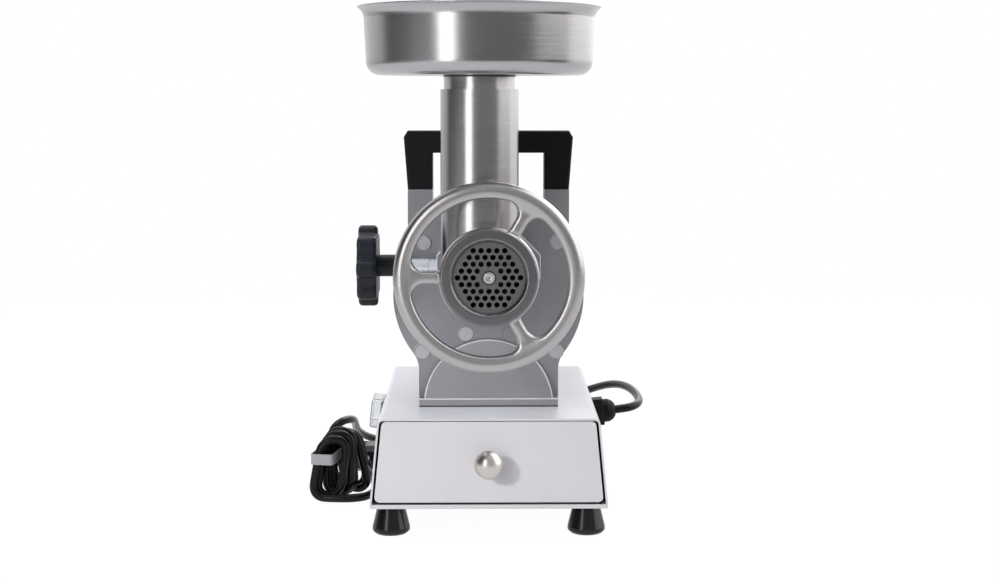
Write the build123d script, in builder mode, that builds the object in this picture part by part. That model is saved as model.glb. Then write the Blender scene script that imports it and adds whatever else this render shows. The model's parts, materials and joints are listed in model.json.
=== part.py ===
from build123d import *
from math import acos, atan2, cos, hypot, pi, radians, sin, sqrt, tan
import os

os.makedirs("parts", exist_ok=True)

# Electric meat grinder, millimetres. X is to the right, Y to the back, Z up.
# The origin is on the table, in the middle of the machine's outline without its cord.

# Sheet metal base
BASE_FRONT = -74.5
BASE_BACK = 165.5
BASE_BOTTOM = 24.2
BASE_TOP = 93.7
BASE_HALF_TOP = 86.25
BASE_HALF_BOTTOM = 93.0
BASE_ROUND = 5.0
SHEET = 1.5
RETURN_WIDTH = 25.0
PLATE_SHEET = 1.2
FOOT_X = 77.0
FOOT_FRONT_Y = BASE_FRONT + 19.0
FOOT_BACK_Y = BASE_BACK - 26.0
FOOT_TOP_RADIUS = 10.0
FOOT_BOTTOM_RADIUS = 14.8

# Drawer
DRAWER_SIDE_GAP = 1.8
DRAWER_TOP_GAP = 0.7
DRAWER_FRONT_BOTTOM = 28.0
DRAWER_CORNER = 4.0
TRAY_HALF = 70.0
TRAY_BACK = 47.0
TRAY_BOTTOM = 28.4
TRAY_TOP = 64.0
KNOB_HEIGHT = 60.5

# Gear case casting
CASE_FRONT = -14.5
CASE_BACK = 25.0
CASE_HEIGHT = 182.5
CASE_RADIUS = 77.0
CASE_WALL = 6.5
FLANGE_FRONT = -26.5
FLANGE_BACK = 62.0
FLANGE_HALF = 55.8
FLANGE_THICK = 5.5
GASKET = 1.0
NECK_HALF = 56.5
ARCH_RADIUS = 51.5
ARCH_PROUD = 2.0
EAR_OUTER = 65.0
EAR_INNER = 45.0
EAR_TOP = 268.0
EAR_BACK = 12.0
COLLAR_FRONT = -41.0
COLLAR_HALF = 41.0
COLLAR_TOP = 36.5

# Motor behind the gear case
BULKHEAD_BACK = 36.0
MOTOR_RADIUS = 62.0
STATOR_RADIUS = 55.0
MOTOR_BACK = 130.0
COVER_BACK = 160.0

# Grinding head
HEAD_HEIGHT = 208.5
HUB_FRONT = -119.5
HUB_BACK = -103.2
HUB_RADIUS = 37.1
MOUTH_RADIUS = 27.0
LIP = 4.0
PLATE_RADIUS = 31.0
PLATE_THICK = 8.0
BARREL_RADIUS = 35.5
THREAD_RADIUS = 34.0
BORE_RADIUS = 26.5
SPIGOT_RADIUS = 29.0
HEAD_BACK = -20.5
WHEEL_RADIUS = 71.65
RIM_RADIUS = 6.1
RIM_Y = -113.5
TUBE_X = -7.0
TUBE_Y = -72.5
TUBE_RADIUS = 30.0
TUBE_TOP = 348.5
TUBE_LEDGE = 320.0

# Feed pan
PAN_BOTTOM = 359.2
PAN_TOP = 411.3
PAN_RADIUS = 88.0
PAN_RIM = 93.0
PAN_SHEET = 1.2
PAN_CORNER = 10.0

# Clamp screw
CLAMP_Y = -30.0
CLAMP_OUTER = -103.4
CLAMP_INNER = -88.0

# Cord fittings on the two side walls
SIDE_Y = 30.0
GLAND_HEIGHT = 78.0
SWITCH_HEIGHT = 79.0

# Cord
CORD = 7.0
CORD_RADIUS = CORD / 2


def facing(y):
    """Sketch plane across the machine at depth y, with sketch axes X and Z."""
    return Plane(origin=(0, y, 0), x_dir=(1, 0, 0), z_dir=(0, -1, 0))


def bar(y_from, y_to, radius, x=0.0, z=0.0, mode=Mode.ADD):
    """Round bar or bore along Y."""
    with Locations((x, (y_from + y_to) / 2, z)):
        Cylinder(radius, y_to - y_from, rotation=(90, 0, 0), mode=mode)


def side_bar(x_from, x_to, radius, y, z, mode=Mode.ADD):
    """Round bar or bore along X."""
    with Locations(((x_from + x_to) / 2, y, z)):
        Cylinder(radius, x_to - x_from, rotation=(0, 90, 0), mode=mode)


def post(z_from, z_to, radius, x, y, mode=Mode.ADD):
    """Round bar or bore along Z."""
    with Locations((x, y, (z_from + z_to) / 2)):
        Cylinder(radius, z_to - z_from, mode=mode)


def block(x_from, x_to, y_from, y_to, z_from, z_to, mode=Mode.ADD):
    """Rectangular block between two corners."""
    with Locations(((x_from + x_to) / 2, (y_from + y_to) / 2, (z_from + z_to) / 2)):
        Box(x_to - x_from, y_to - y_from, z_to - z_from, mode=mode)


def wall_x(z):
    """Half width of the base's outside at height z."""
    return BASE_HALF_BOTTOM - (z - BASE_BOTTOM) * WALL_SLOPE


def wall_plane(side, y, z):
    """Plane on the outside of a side wall: side is 1 on the right and -1 on the left."""
    return Plane(
        origin=(side * wall_x(z), y, z),
        x_dir=(0, side, 0),
        z_dir=(side * cos(WALL_ANGLE), 0, sin(WALL_ANGLE)),
    )


WALL_SLOPE = (BASE_HALF_BOTTOM - BASE_HALF_TOP) / (BASE_TOP - BASE_BOTTOM)
WALL_ANGLE = atan2(BASE_HALF_BOTTOM - BASE_HALF_TOP, BASE_TOP - BASE_BOTTOM)
BASE_MIDDLE = (BASE_FRONT + BASE_BACK) / 2
BASE_DEPTH = BASE_BACK - BASE_FRONT
FOOT_PLACES = [
    ("front_left", -FOOT_X, FOOT_FRONT_Y),
    ("front_right", FOOT_X, FOOT_FRONT_Y),
    ("back_left", -FOOT_X, FOOT_BACK_Y),
    ("back_right", FOOT_X, FOOT_BACK_Y),
]
BOLT_PLACES = [(-42.0, -12.0), (42.0, -12.0), (-42.0, 48.0), (42.0, 48.0)]
FLANGE_BOTTOM = BASE_TOP + GASKET
FLANGE_TOP = FLANGE_BOTTOM + FLANGE_THICK

# Base shell: one bent sheet with sloping sides, open at the front for the drawer,
# with returns along the bottom that carry the feet.
with BuildPart() as base_shell:
    with BuildSketch(facing(BASE_FRONT)):
        with BuildLine():
            Polyline(
                (-BASE_HALF_BOTTOM, BASE_BOTTOM),
                (BASE_HALF_BOTTOM, BASE_BOTTOM),
                (BASE_HALF_TOP, BASE_TOP),
                (-BASE_HALF_TOP, BASE_TOP),
                close=True,
            )
        make_face()
    extrude(amount=-BASE_DEPTH)
    long_edges = base_shell.edges().filter_by(Axis.Y).group_by(Axis.Z)[-1]
    back_edge = base_shell.edges().filter_by(Axis.X).group_by(Axis.Z)[-1].sort_by(Axis.Y)[-1]
    fillet(long_edges + [back_edge], BASE_ROUND)
    front_face = base_shell.faces().sort_by(Axis.Y)[0]
    bottom_face = base_shell.faces().sort_by(Axis.Z)[0]
    offset(amount=-SHEET, openings=[front_face, bottom_face])
    for side in (-1, 1):
        return_middle = side * (BASE_HALF_BOTTOM - 0.6 - RETURN_WIDTH / 2)
        with Locations((return_middle, BASE_MIDDLE, BASE_BOTTOM + SHEET / 2)):
            Box(RETURN_WIDTH, BASE_DEPTH - 0.4, SHEET)
    for name, x, y in FOOT_PLACES:
        post(BASE_BOTTOM - 1, BASE_BOTTOM + SHEET + 1, 2.7, x, y, Mode.SUBTRACT)
    for x, y in BOLT_PLACES:
        post(BASE_TOP - SHEET - 1, BASE_TOP + 1, 3.3, x, y, Mode.SUBTRACT)
    post(BASE_TOP - SHEET - 1, BASE_TOP + 1, 9.0, 0, 20.0, Mode.SUBTRACT)
    with BuildSketch(wall_plane(1, SIDE_Y, GLAND_HEIGHT)):
        Circle(8.2)
    extrude(amount=-6, both=True, mode=Mode.SUBTRACT)
    with BuildSketch(wall_plane(-1, SIDE_Y, SWITCH_HEIGHT)):
        Rectangle(27.4, 19.4)
    extrude(amount=-6, both=True, mode=Mode.SUBTRACT)
base_shell.part.label = "base_shell"
export_step(base_shell.part, "parts/base_shell.step")

PLATE_BOTTOM = BASE_BOTTOM + SHEET
PLATE_TOP = PLATE_BOTTOM + PLATE_SHEET

# Bottom plate on the returns
with BuildPart() as base_bottom_plate:
    block(-88, 88, BASE_FRONT + 2.5, BASE_BACK - 4, PLATE_BOTTOM, PLATE_TOP)
    for name, x, y in FOOT_PLACES:
        post(PLATE_BOTTOM - 1, PLATE_TOP + 1, 2.7, x, y, Mode.SUBTRACT)
base_bottom_plate.part.label = "base_bottom_plate"
export_step(base_bottom_plate.part, "parts/base_bottom_plate.step")

# Drawer rails: two angles on the bottom plate
RAIL_FRONT = BASE_FRONT + 6
RAIL_LEG = 12.0
RAIL_TOP = 46.0
with BuildPart() as drawer_rails:
    for side in (-1, 1):
        leg = side * (TRAY_HALF + 0.4)
        with BuildSketch(facing(RAIL_FRONT)):
            with BuildLine():
                Polyline(
                    (leg + side * PLATE_SHEET, PLATE_TOP),
                    (leg - side * RAIL_LEG, PLATE_TOP),
                    (leg - side * RAIL_LEG, PLATE_TOP + PLATE_SHEET),
                    (leg, PLATE_TOP + PLATE_SHEET),
                    (leg, RAIL_TOP),
                    (leg + side * PLATE_SHEET, RAIL_TOP),
                    close=True,
                )
            make_face()
        extrude(amount=RAIL_FRONT - TRAY_BACK)
drawer_rails.part.label = "drawer_rails"
export_step(drawer_rails.part, "parts/drawer_rails.step")

# Partition between the drawer and the wiring space
with BuildPart() as base_partition:
    block(-83, 83, TRAY_BACK + 5, TRAY_BACK + 5 + PLATE_SHEET, PLATE_TOP, 88)
    block(-83, 83, TRAY_BACK + 5, TRAY_BACK + 17, PLATE_TOP, PLATE_TOP + PLATE_SHEET)
    post(80, 89, 5.0, 60, TRAY_BACK + 5, Mode.SUBTRACT)
base_partition.part.label = "base_partition"
export_step(base_partition.part, "parts/base_partition.step")

# Rubber feet: cones with a rounded base and a recess for the screw head
FOOT_RECESS = 8.0
for name, x, y in FOOT_PLACES:
    with BuildPart() as foot:
        with BuildSketch(Plane(origin=(x, y, 0), x_dir=(1, 0, 0), z_dir=(0, -1, 0))):
            with BuildLine():
                Polyline(
                    (2.8, FOOT_RECESS),
                    (2.8, BASE_BOTTOM),
                    (FOOT_TOP_RADIUS, BASE_BOTTOM),
                    (FOOT_BOTTOM_RADIUS, 4.5),
                    (FOOT_BOTTOM_RADIUS, 2.0),
                    (FOOT_BOTTOM_RADIUS - 2.0, 0.0),
                    (6.0, 0.0),
                    (6.0, FOOT_RECESS),
                    close=True,
                )
            make_face()
        revolve(axis=Axis((x, y, 0), (0, 0, 1)))
        fillet(foot.edges().filter_by(GeomType.CIRCLE).group_by(SortBy.RADIUS)[-1], 1.2)
    foot.part.label = f"foot_{name}"
    export_step(foot.part, f"parts/foot_{name}.step")

# Foot screws with their nuts inside the base
with BuildPart() as foot_screws:
    for name, x, y in FOOT_PLACES:
        post(FOOT_RECESS - 3.5, FOOT_RECESS, 5.0, x, y)
        post(FOOT_RECESS, PLATE_TOP + 5.5, 2.5, x, y)
        with Locations((x, y, FOOT_RECESS - 3.5)):
            Cylinder(1.8, 4, mode=Mode.SUBTRACT)
        with BuildSketch(Plane.XY.offset(PLATE_TOP)):
            with Locations((x, y)):
                RegularPolygon(4.0, 6, major_radius=False)
                Circle(2.6, mode=Mode.SUBTRACT)
        extrude(amount=4)
foot_screws.part.label = "foot_screws"
export_step(foot_screws.part, "parts/foot_screws.step")

DRAWER_FRONT_TOP = BASE_TOP - SHEET - DRAWER_TOP_GAP
FRONT_SHEET = 2.0
TRAY_FRONT = BASE_FRONT + FRONT_SHEET
TRAY_SHEET = 1.0
KNOB_SCREW_RADIUS = 2.0


def drawer_half(z):
    """Half width of the drawer front at height z."""
    return wall_x(z) - SHEET / cos(WALL_ANGLE) - DRAWER_SIDE_GAP


# Drawer front: a flat panel that fills the opening with a narrow gap
with BuildPart() as drawer_front:
    with BuildSketch(facing(BASE_FRONT)) as panel:
        with BuildLine():
            Polyline(
                (-drawer_half(DRAWER_FRONT_BOTTOM), DRAWER_FRONT_BOTTOM),
                (drawer_half(DRAWER_FRONT_BOTTOM), DRAWER_FRONT_BOTTOM),
                (drawer_half(DRAWER_FRONT_TOP), DRAWER_FRONT_TOP),
                (-drawer_half(DRAWER_FRONT_TOP), DRAWER_FRONT_TOP),
                close=True,
            )
        make_face()
        fillet(panel.vertices(), DRAWER_CORNER)
    extrude(amount=-FRONT_SHEET)
    bar(BASE_FRONT - 1, TRAY_FRONT + 1, KNOB_SCREW_RADIUS + 0.2, 0, KNOB_HEIGHT, Mode.SUBTRACT)
drawer_front.part.label = "drawer_front"
export_step(drawer_front.part, "parts/drawer_front.step")

# Drawer tray: folded sheet box, open on top
with BuildPart() as drawer_tray:
    block(-TRAY_HALF, TRAY_HALF, TRAY_FRONT, TRAY_BACK, TRAY_BOTTOM, TRAY_TOP)
    block(
        -TRAY_HALF + TRAY_SHEET,
        TRAY_HALF - TRAY_SHEET,
        TRAY_FRONT + TRAY_SHEET,
        TRAY_BACK - TRAY_SHEET,
        TRAY_BOTTOM + TRAY_SHEET,
        TRAY_TOP + 1,
        Mode.SUBTRACT,
    )
    bar(TRAY_FRONT - 1, TRAY_FRONT + 2, KNOB_SCREW_RADIUS + 0.2, 0, KNOB_HEIGHT, Mode.SUBTRACT)
drawer_tray.part.label = "drawer_tray"
export_step(drawer_tray.part, "parts/drawer_tray.step")

# Drawer knob: turned mushroom knob on a short stem
KNOB_RADIUS = 11.25
KNOB_LENGTH = 21.0
with BuildPart() as drawer_knob:
    dome_height = KNOB_LENGTH - 12.8
    dome_radius = (KNOB_RADIUS**2 + dome_height**2) / (2 * dome_height)
    dome_centre = BASE_FRONT - KNOB_LENGTH + dome_radius
    with BuildSketch(Plane.XY.offset(KNOB_HEIGHT)):
        with BuildLine():
            Polyline((0, BASE_FRONT), (6.5, BASE_FRONT), (6.5, BASE_FRONT - 1.2))
            ThreePointArc((6.5, BASE_FRONT - 1.2), (4.6, BASE_FRONT - 4.5), (6.0, BASE_FRONT - 8.5))
            ThreePointArc(
                (6.0, BASE_FRONT - 8.5),
                (9.2, BASE_FRONT - 9.8),
                (KNOB_RADIUS, BASE_FRONT - 12.8),
            )
            ThreePointArc(
                (KNOB_RADIUS, BASE_FRONT - 12.8),
                (dome_radius * sin(pi / 4), dome_centre - dome_radius * cos(pi / 4)),
                (0, BASE_FRONT - KNOB_LENGTH),
            )
            Line((0, BASE_FRONT - KNOB_LENGTH), (0, BASE_FRONT))
        make_face()
    revolve(axis=Axis((0, 0, KNOB_HEIGHT), (0, 1, 0)))
    bar(BASE_FRONT - 12, BASE_FRONT + 1, KNOB_SCREW_RADIUS + 0.1, 0, KNOB_HEIGHT, Mode.SUBTRACT)
drawer_knob.part.label = "drawer_knob"
export_step(drawer_knob.part, "parts/drawer_knob.step")

with BuildPart() as drawer_knob_screw:
    bar(BASE_FRONT - 11, TRAY_FRONT + TRAY_SHEET, KNOB_SCREW_RADIUS, 0, KNOB_HEIGHT)
    bar(TRAY_FRONT + TRAY_SHEET, TRAY_FRONT + TRAY_SHEET + 2.6, 4.0, 0, KNOB_HEIGHT)
drawer_knob_screw.part.label = "drawer_knob_screw"
export_step(drawer_knob_screw.part, "parts/drawer_knob_screw.step")

# Gasket under the gear case
with BuildPart() as gasket:
    block(-FLANGE_HALF, FLANGE_HALF, FLANGE_FRONT, FLANGE_BACK, BASE_TOP, FLANGE_BOTTOM)
    for x, y in BOLT_PLACES:
        post(BASE_TOP - 1, FLANGE_BOTTOM + 1, 3.3, x, y, Mode.SUBTRACT)
    post(BASE_TOP - 1, FLANGE_BOTTOM + 1, 9.0, 0, 20.0, Mode.SUBTRACT)
gasket.part.label = "gasket"
export_step(gasket.part, "parts/gasket.step")

# Gear train: the motor pinion drives the idler gear, and the idler pinion the output gear
FIRST_MODULE = 1.25
SECOND_MODULE = 1.5
PINION_TEETH = 12
IDLER_TEETH = 40
OUTPUT_TEETH = 44
FIRST_CENTRES = FIRST_MODULE * (PINION_TEETH + IDLER_TEETH) / 2
SECOND_CENTRES = SECOND_MODULE * (PINION_TEETH + OUTPUT_TEETH) / 2
AXIS_GAP = HEAD_HEIGHT - CASE_HEIGHT
IDLER_RISE = (FIRST_CENTRES**2 - SECOND_CENTRES**2 + AXIS_GAP**2) / (2 * AXIS_GAP)
IDLER_X = sqrt(FIRST_CENTRES**2 - IDLER_RISE**2)
IDLER_Z = CASE_HEIGHT + IDLER_RISE

FRONT_WALL_BACK = CASE_FRONT + 7.0
COLLAR_FLOOR = -19.0
SEAL_FLOOR = -14.0
BEARING_FRONT = -13.5
BEARING_BACK = -4.5
BUSH_FRONT = -12.0
BUSH_BACK = -4.0
CASE_SCREWS = [(-53.5, 225.5), (53.5, 225.5), (-54.0, 137.5), (54.0, 137.5)]
FRONT_PADS = CASE_SCREWS + [(-18.6, 152.0), (18.6, 152.0)]
STUD_X = 55.0
STUD_Y = -1.0
CLAMP_HOLE = 5.08

# Gear case: round casting with a neck, a foot flange with a hollow-curved arch in front,
# two ears for the handle and an eight-sided collar that holds the grinding head.
with BuildPart() as gear_case:
    with BuildSketch(facing(CASE_FRONT)) as outline:
        with Locations((0, CASE_HEIGHT)):
            Circle(CASE_RADIUS)
        with Locations((0, (FLANGE_BOTTOM + CASE_HEIGHT) / 2)):
            Rectangle(2 * NECK_HALF, CASE_HEIGHT - FLANGE_BOTTOM)
        waist = outline.vertices().filter_by(lambda v: FLANGE_TOP < v.Y < CASE_HEIGHT)
        fillet(waist, 22)
    extrude(amount=CASE_FRONT - CASE_BACK)
    for side in (-1, 1):
        ear = sorted((side * EAR_INNER, side * EAR_OUTER))
        block(ear[0], ear[1], CASE_FRONT, EAR_BACK, CASE_HEIGHT + 20, EAR_TOP)
    block(-FLANGE_HALF, FLANGE_HALF, FLANGE_FRONT, FLANGE_BACK, FLANGE_BOTTOM, FLANGE_TOP)
    with BuildSketch(facing(CASE_FRONT)):
        with Locations((0, FLANGE_BOTTOM)):
            Circle(ARCH_RADIUS)
        with Locations((0, FLANGE_BOTTOM - ARCH_RADIUS)):
            Rectangle(4 * ARCH_RADIUS, 2 * ARCH_RADIUS, mode=Mode.SUBTRACT)
    extrude(amount=CASE_FRONT - FLANGE_FRONT)
    arch_top = FLANGE_BOTTOM + ARCH_RADIUS
    arch_rise = arch_top - FLANGE_TOP
    arch_reach = CASE_FRONT - FLANGE_FRONT - 1.0 - ARCH_PROUD
    cove_radius = (arch_rise**2 + arch_reach**2) / (2 * arch_reach)
    with BuildSketch(Plane.YZ) as cove:
        with Locations((CASE_FRONT - ARCH_PROUD - cove_radius, arch_top)):
            Circle(cove_radius)
        with Locations((0, FLANGE_TOP - 500)):
            Rectangle(1000, 1000, mode=Mode.SUBTRACT)
    extrude(amount=ARCH_RADIUS + 1, both=True, mode=Mode.SUBTRACT)
    with BuildSketch(facing(CASE_FRONT)):
        with BuildLine():
            Polyline(
                (COLLAR_HALF, HEAD_HEIGHT - 9.0),
                (COLLAR_HALF, HEAD_HEIGHT + 9.0),
                (14, HEAD_HEIGHT + COLLAR_TOP),
                (-14, HEAD_HEIGHT + COLLAR_TOP),
                (-COLLAR_HALF, HEAD_HEIGHT + 9.0),
                (-COLLAR_HALF, HEAD_HEIGHT - 9.0),
                (-14, HEAD_HEIGHT - COLLAR_TOP),
                (14, HEAD_HEIGHT - COLLAR_TOP),
                close=True,
            )
        make_face()
    extrude(amount=CASE_FRONT - COLLAR_FRONT)
    for x, z in FRONT_PADS:
        bar(CASE_FRONT - 1.2, CASE_FRONT, 6.2, x, z)
    bar(FRONT_WALL_BACK, CASE_BACK + 1, CASE_RADIUS - CASE_WALL, 0, CASE_HEIGHT, Mode.SUBTRACT)
    bar(FRONT_WALL_BACK, BEARING_BACK, 26.0, 0, HEAD_HEIGHT)
    bar(FRONT_WALL_BACK, BUSH_BACK, 11.0, IDLER_X, IDLER_Z)
    for x, z in CASE_SCREWS:
        bar(FRONT_WALL_BACK, CASE_BACK, 6.5, x, z)
    bar(COLLAR_FRONT - 1, COLLAR_FLOOR, SPIGOT_RADIUS + 0.15, 0, HEAD_HEIGHT, Mode.SUBTRACT)
    bar(COLLAR_FLOOR - 1, SEAL_FLOOR, 19.0, 0, HEAD_HEIGHT, Mode.SUBTRACT)
    bar(SEAL_FLOOR - 1, BEARING_FRONT + 1, 15.0, 0, HEAD_HEIGHT, Mode.SUBTRACT)
    bar(BEARING_FRONT, BEARING_BACK + 1, 21.0, 0, HEAD_HEIGHT, Mode.SUBTRACT)
    bar(BUSH_FRONT, BUSH_BACK + 1, 7.0, IDLER_X, IDLER_Z, Mode.SUBTRACT)
    side_bar(-COLLAR_HALF - 1, -20, CLAMP_HOLE, CLAMP_Y, HEAD_HEIGHT, Mode.SUBTRACT)
    for x, z in CASE_SCREWS:
        bar(CASE_BACK - 14, CASE_BACK + 1, 2.1, x, z, Mode.SUBTRACT)
    for side in (-1, 1):
        post(EAR_TOP - 16, EAR_TOP + 1, 4.05, side * STUD_X, STUD_Y, Mode.SUBTRACT)
    for x, y in BOLT_PLACES:
        post(FLANGE_BOTTOM - 1, FLANGE_TOP - 1, 3.05, x, y, Mode.SUBTRACT)
gear_case.part.label = "gear_case"
export_step(gear_case.part, "parts/gear_case.step")

# Pedestal bolts, put in from inside the base
with BuildPart() as pedestal_bolts:
    for x, y in BOLT_PLACES:
        post(BASE_TOP - SHEET, FLANGE_TOP - 1.5, 3.0, x, y)
        with BuildSketch(Plane.XY.offset(BASE_TOP - SHEET - 4)):
            with Locations((x, y)):
                RegularPolygon(5.0, 6, major_radius=False)
        extrude(amount=4)
pedestal_bolts.part.label = "pedestal_bolts"
export_step(pedestal_bolts.part, "parts/pedestal_bolts.step")

# Rear wall of the gear case, which also carries the motor
MOTOR_SCREWS = [(x, CASE_HEIGHT + z) for x in (-41.4, 41.4) for z in (-41.4, 41.4)]
MOTOR_BEARING_FRONT = 28.0
with BuildPart() as gear_case_rear:
    bar(CASE_BACK, BULKHEAD_BACK, CASE_RADIUS, 0, CASE_HEIGHT)
    fillet(gear_case_rear.edges().sort_by(Axis.Y)[-1], 3)
    for x, z in CASE_SCREWS:
        bar(CASE_BACK - 1, BULKHEAD_BACK + 1, 2.3, x, z, Mode.SUBTRACT)
    for x, z in MOTOR_SCREWS:
        bar(CASE_BACK - 1, BULKHEAD_BACK + 1, 2.2, x, z, Mode.SUBTRACT)
    bar(CASE_BACK - 1, CASE_BACK + 9, 9.0, 0, HEAD_HEIGHT, Mode.SUBTRACT)
    bar(CASE_BACK - 1, CASE_BACK + 8, 7.0, IDLER_X, IDLER_Z, Mode.SUBTRACT)
    bar(CASE_BACK - 1, MOTOR_BEARING_FRONT + 1, 8.0, 0, CASE_HEIGHT, Mode.SUBTRACT)
    bar(MOTOR_BEARING_FRONT, BULKHEAD_BACK + 1, 14.0, 0, CASE_HEIGHT, Mode.SUBTRACT)
gear_case_rear.part.label = "gear_case_rear"
export_step(gear_case_rear.part, "parts/gear_case_rear.step")

# Screws that hold the rear wall to the gear case, and the motor to the rear wall
with BuildPart() as case_screws:
    for x, z in CASE_SCREWS:
        bar(CASE_BACK - 12, BULKHEAD_BACK, 2.0, x, z)
        bar(BULKHEAD_BACK, BULKHEAD_BACK + 4, 4.0, x, z)
        with BuildSketch(facing(BULKHEAD_BACK + 4)):
            with Locations((x, z)):
                RegularPolygon(2.0, 6)
        extrude(amount=2.2, mode=Mode.SUBTRACT)
    for x, z in MOTOR_SCREWS:
        bar(CASE_BACK - 3, CASE_BACK, 3.5, x, z)
        bar(CASE_BACK, BULKHEAD_BACK + 15, 2.0, x, z)
case_screws.part.label = "case_screws"
export_step(case_screws.part, "parts/case_screws.step")

# Motor housing with its rear end wall
END_WALL = 122.0
with BuildPart() as motor_housing:
    bar(BULKHEAD_BACK, MOTOR_BACK, MOTOR_RADIUS, 0, CASE_HEIGHT)
    bar(BULKHEAD_BACK - 1, END_WALL, STATOR_RADIUS + 0.05, 0, CASE_HEIGHT, Mode.SUBTRACT)
    bar(END_WALL - 1, MOTOR_BACK + 1, 14.0, 0, CASE_HEIGHT, Mode.SUBTRACT)
    with BuildSketch(facing(END_WALL)):
        with Locations((0, CASE_HEIGHT)):
            with PolarLocations(36, 8):
                Circle(7)
    extrude(amount=END_WALL - MOTOR_BACK, mode=Mode.SUBTRACT)
    for x, z in MOTOR_SCREWS:
        bar(BULKHEAD_BACK - 1, BULKHEAD_BACK + 16, 2.05, x, z, Mode.SUBTRACT)
motor_housing.part.label = "motor_housing"
export_step(motor_housing.part, "parts/motor_housing.step")

# Motor parts
STACK_FRONT = 45.0
STACK_BACK = 105.0
SHAFT_RADIUS = 5.95
with BuildPart() as stator:
    bar(STACK_FRONT, STACK_BACK, STATOR_RADIUS, 0, CASE_HEIGHT)
    bar(STACK_FRONT - 1, STACK_BACK + 1, 30.0, 0, CASE_HEIGHT, Mode.SUBTRACT)
stator.part.label = "stator"
export_step(stator.part, "parts/stator.step")

with BuildPart() as windings:
    for y_from, y_to in ((BULKHEAD_BACK + 2, STACK_FRONT), (STACK_BACK, STACK_BACK + 10)):
        bar(y_from, y_to, 50.0, 0, CASE_HEIGHT)
        bar(y_from, y_to, 32.0, 0, CASE_HEIGHT, Mode.SUBTRACT)
windings.part.label = "windings"
export_step(windings.part, "parts/windings.step")

with BuildPart() as rotor:
    bar(STACK_FRONT, STACK_BACK, 29.4, 0, CASE_HEIGHT)
    bar(STACK_FRONT - 1, STACK_BACK + 1, SHAFT_RADIUS + 0.02, 0, CASE_HEIGHT, Mode.SUBTRACT)
rotor.part.label = "rotor"
export_step(rotor.part, "parts/rotor.step")

BEARING_HOLE = SHAFT_RADIUS + 0.05
with BuildPart() as motor_bearings:
    for y in (MOTOR_BEARING_FRONT, END_WALL):
        bar(y, y + 8, 13.98, 0, CASE_HEIGHT)
        bar(y, y + 8, BEARING_HOLE, 0, CASE_HEIGHT, Mode.SUBTRACT)
motor_bearings.part.label = "motor_bearings"
export_step(motor_bearings.part, "parts/motor_bearings.step")

FAN_FRONT = 137.0
with BuildPart() as cooling_fan:
    bar(FAN_FRONT, FAN_FRONT + 2, 46.0, 0, CASE_HEIGHT)
    bar(FAN_FRONT, FAN_FRONT + 11, 10.0, 0, CASE_HEIGHT)
    with BuildSketch(facing(FAN_FRONT + 2)):
        with Locations((0, CASE_HEIGHT)):
            with PolarLocations(28, 9):
                Rectangle(34, 1.8)
    extrude(amount=-9)
    bar(FAN_FRONT - 1, FAN_FRONT + 12, SHAFT_RADIUS + 0.02, 0, CASE_HEIGHT, Mode.SUBTRACT)
cooling_fan.part.label = "cooling_fan"
export_step(cooling_fan.part, "parts/cooling_fan.step")

# Rear cover with a ring of air slots
COVER_SHEET = 2.5
COVER_SCREWS = [(54.0 * cos(radians(a)), CASE_HEIGHT + 54.0 * sin(radians(a))) for a in (90, 210, 330)]
with BuildPart() as rear_cover:
    bar(MOTOR_BACK, COVER_BACK, MOTOR_RADIUS, 0, CASE_HEIGHT)
    fillet(rear_cover.edges().sort_by(Axis.Y)[-1], 6)
    bar(MOTOR_BACK - 1, COVER_BACK - COVER_SHEET, MOTOR_RADIUS - COVER_SHEET, 0, CASE_HEIGHT, Mode.SUBTRACT)
    for x, z in COVER_SCREWS:
        bar(MOTOR_BACK, COVER_BACK - COVER_SHEET, 6.0, x, z)
        bar(MOTOR_BACK - 1, COVER_BACK + 1, 1.8, x, z, Mode.SUBTRACT)
        bar(COVER_BACK - 2, COVER_BACK + 1, 3.4, x, z, Mode.SUBTRACT)
    with BuildSketch(facing(COVER_BACK - COVER_SHEET - 1)):
        with Locations((0, CASE_HEIGHT)):
            with PolarLocations(27, 18):
                SlotOverall(26, 4.2)
    extrude(amount=-COVER_SHEET - 2, mode=Mode.SUBTRACT)
rear_cover.part.label = "rear_cover"
export_step(rear_cover.part, "parts/rear_cover.step")

with BuildPart() as cover_screws:
    for x, z in COVER_SCREWS:
        bar(MOTOR_BACK + 0.1, COVER_BACK - 2, 1.6, x, z)
        bar(COVER_BACK - 2, COVER_BACK - 0.2, 3.2, x, z)
cover_screws.part.label = "cover_screws"
export_step(cover_screws.part, "parts/cover_screws.step")

PRESSURE = radians(20)
BACKLASH = 0.2
FLANK_STEPS = 4


def gear_outline(module, teeth, first_tooth, addendum, x, z):
    """Spur gear outline with involute flanks, and a tooth at the angle first_tooth."""
    pitch = module * teeth / 2
    base = pitch * cos(PRESSURE)
    tip = pitch + addendum * module
    root = pitch - 1.25 * module
    start = max(base, root)
    half = pi / (2 * teeth) - BACKLASH / (2 * pitch) + tan(PRESSURE) - PRESSURE
    flank = []
    if root < base:
        flank.append((root, half))
    for step in range(FLANK_STEPS + 1):
        radius = start + (tip - start) * step / FLANK_STEPS
        roll = acos(min(1.0, base / radius))
        flank.append((radius, half - tan(roll) + roll))
    points = []
    for tooth in range(teeth):
        middle = first_tooth + 2 * pi * tooth / teeth
        sides = [(r, middle - a) for r, a in flank] + [(r, middle + a) for r, a in reversed(flank)]
        points += [(x + r * cos(a), z + r * sin(a)) for r, a in sides]
    return points


TOWARDS_IDLER = atan2(IDLER_Z - CASE_HEIGHT, IDLER_X)
TOWARDS_OUTPUT = atan2(HEAD_HEIGHT - IDLER_Z, -IDLER_X)

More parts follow.
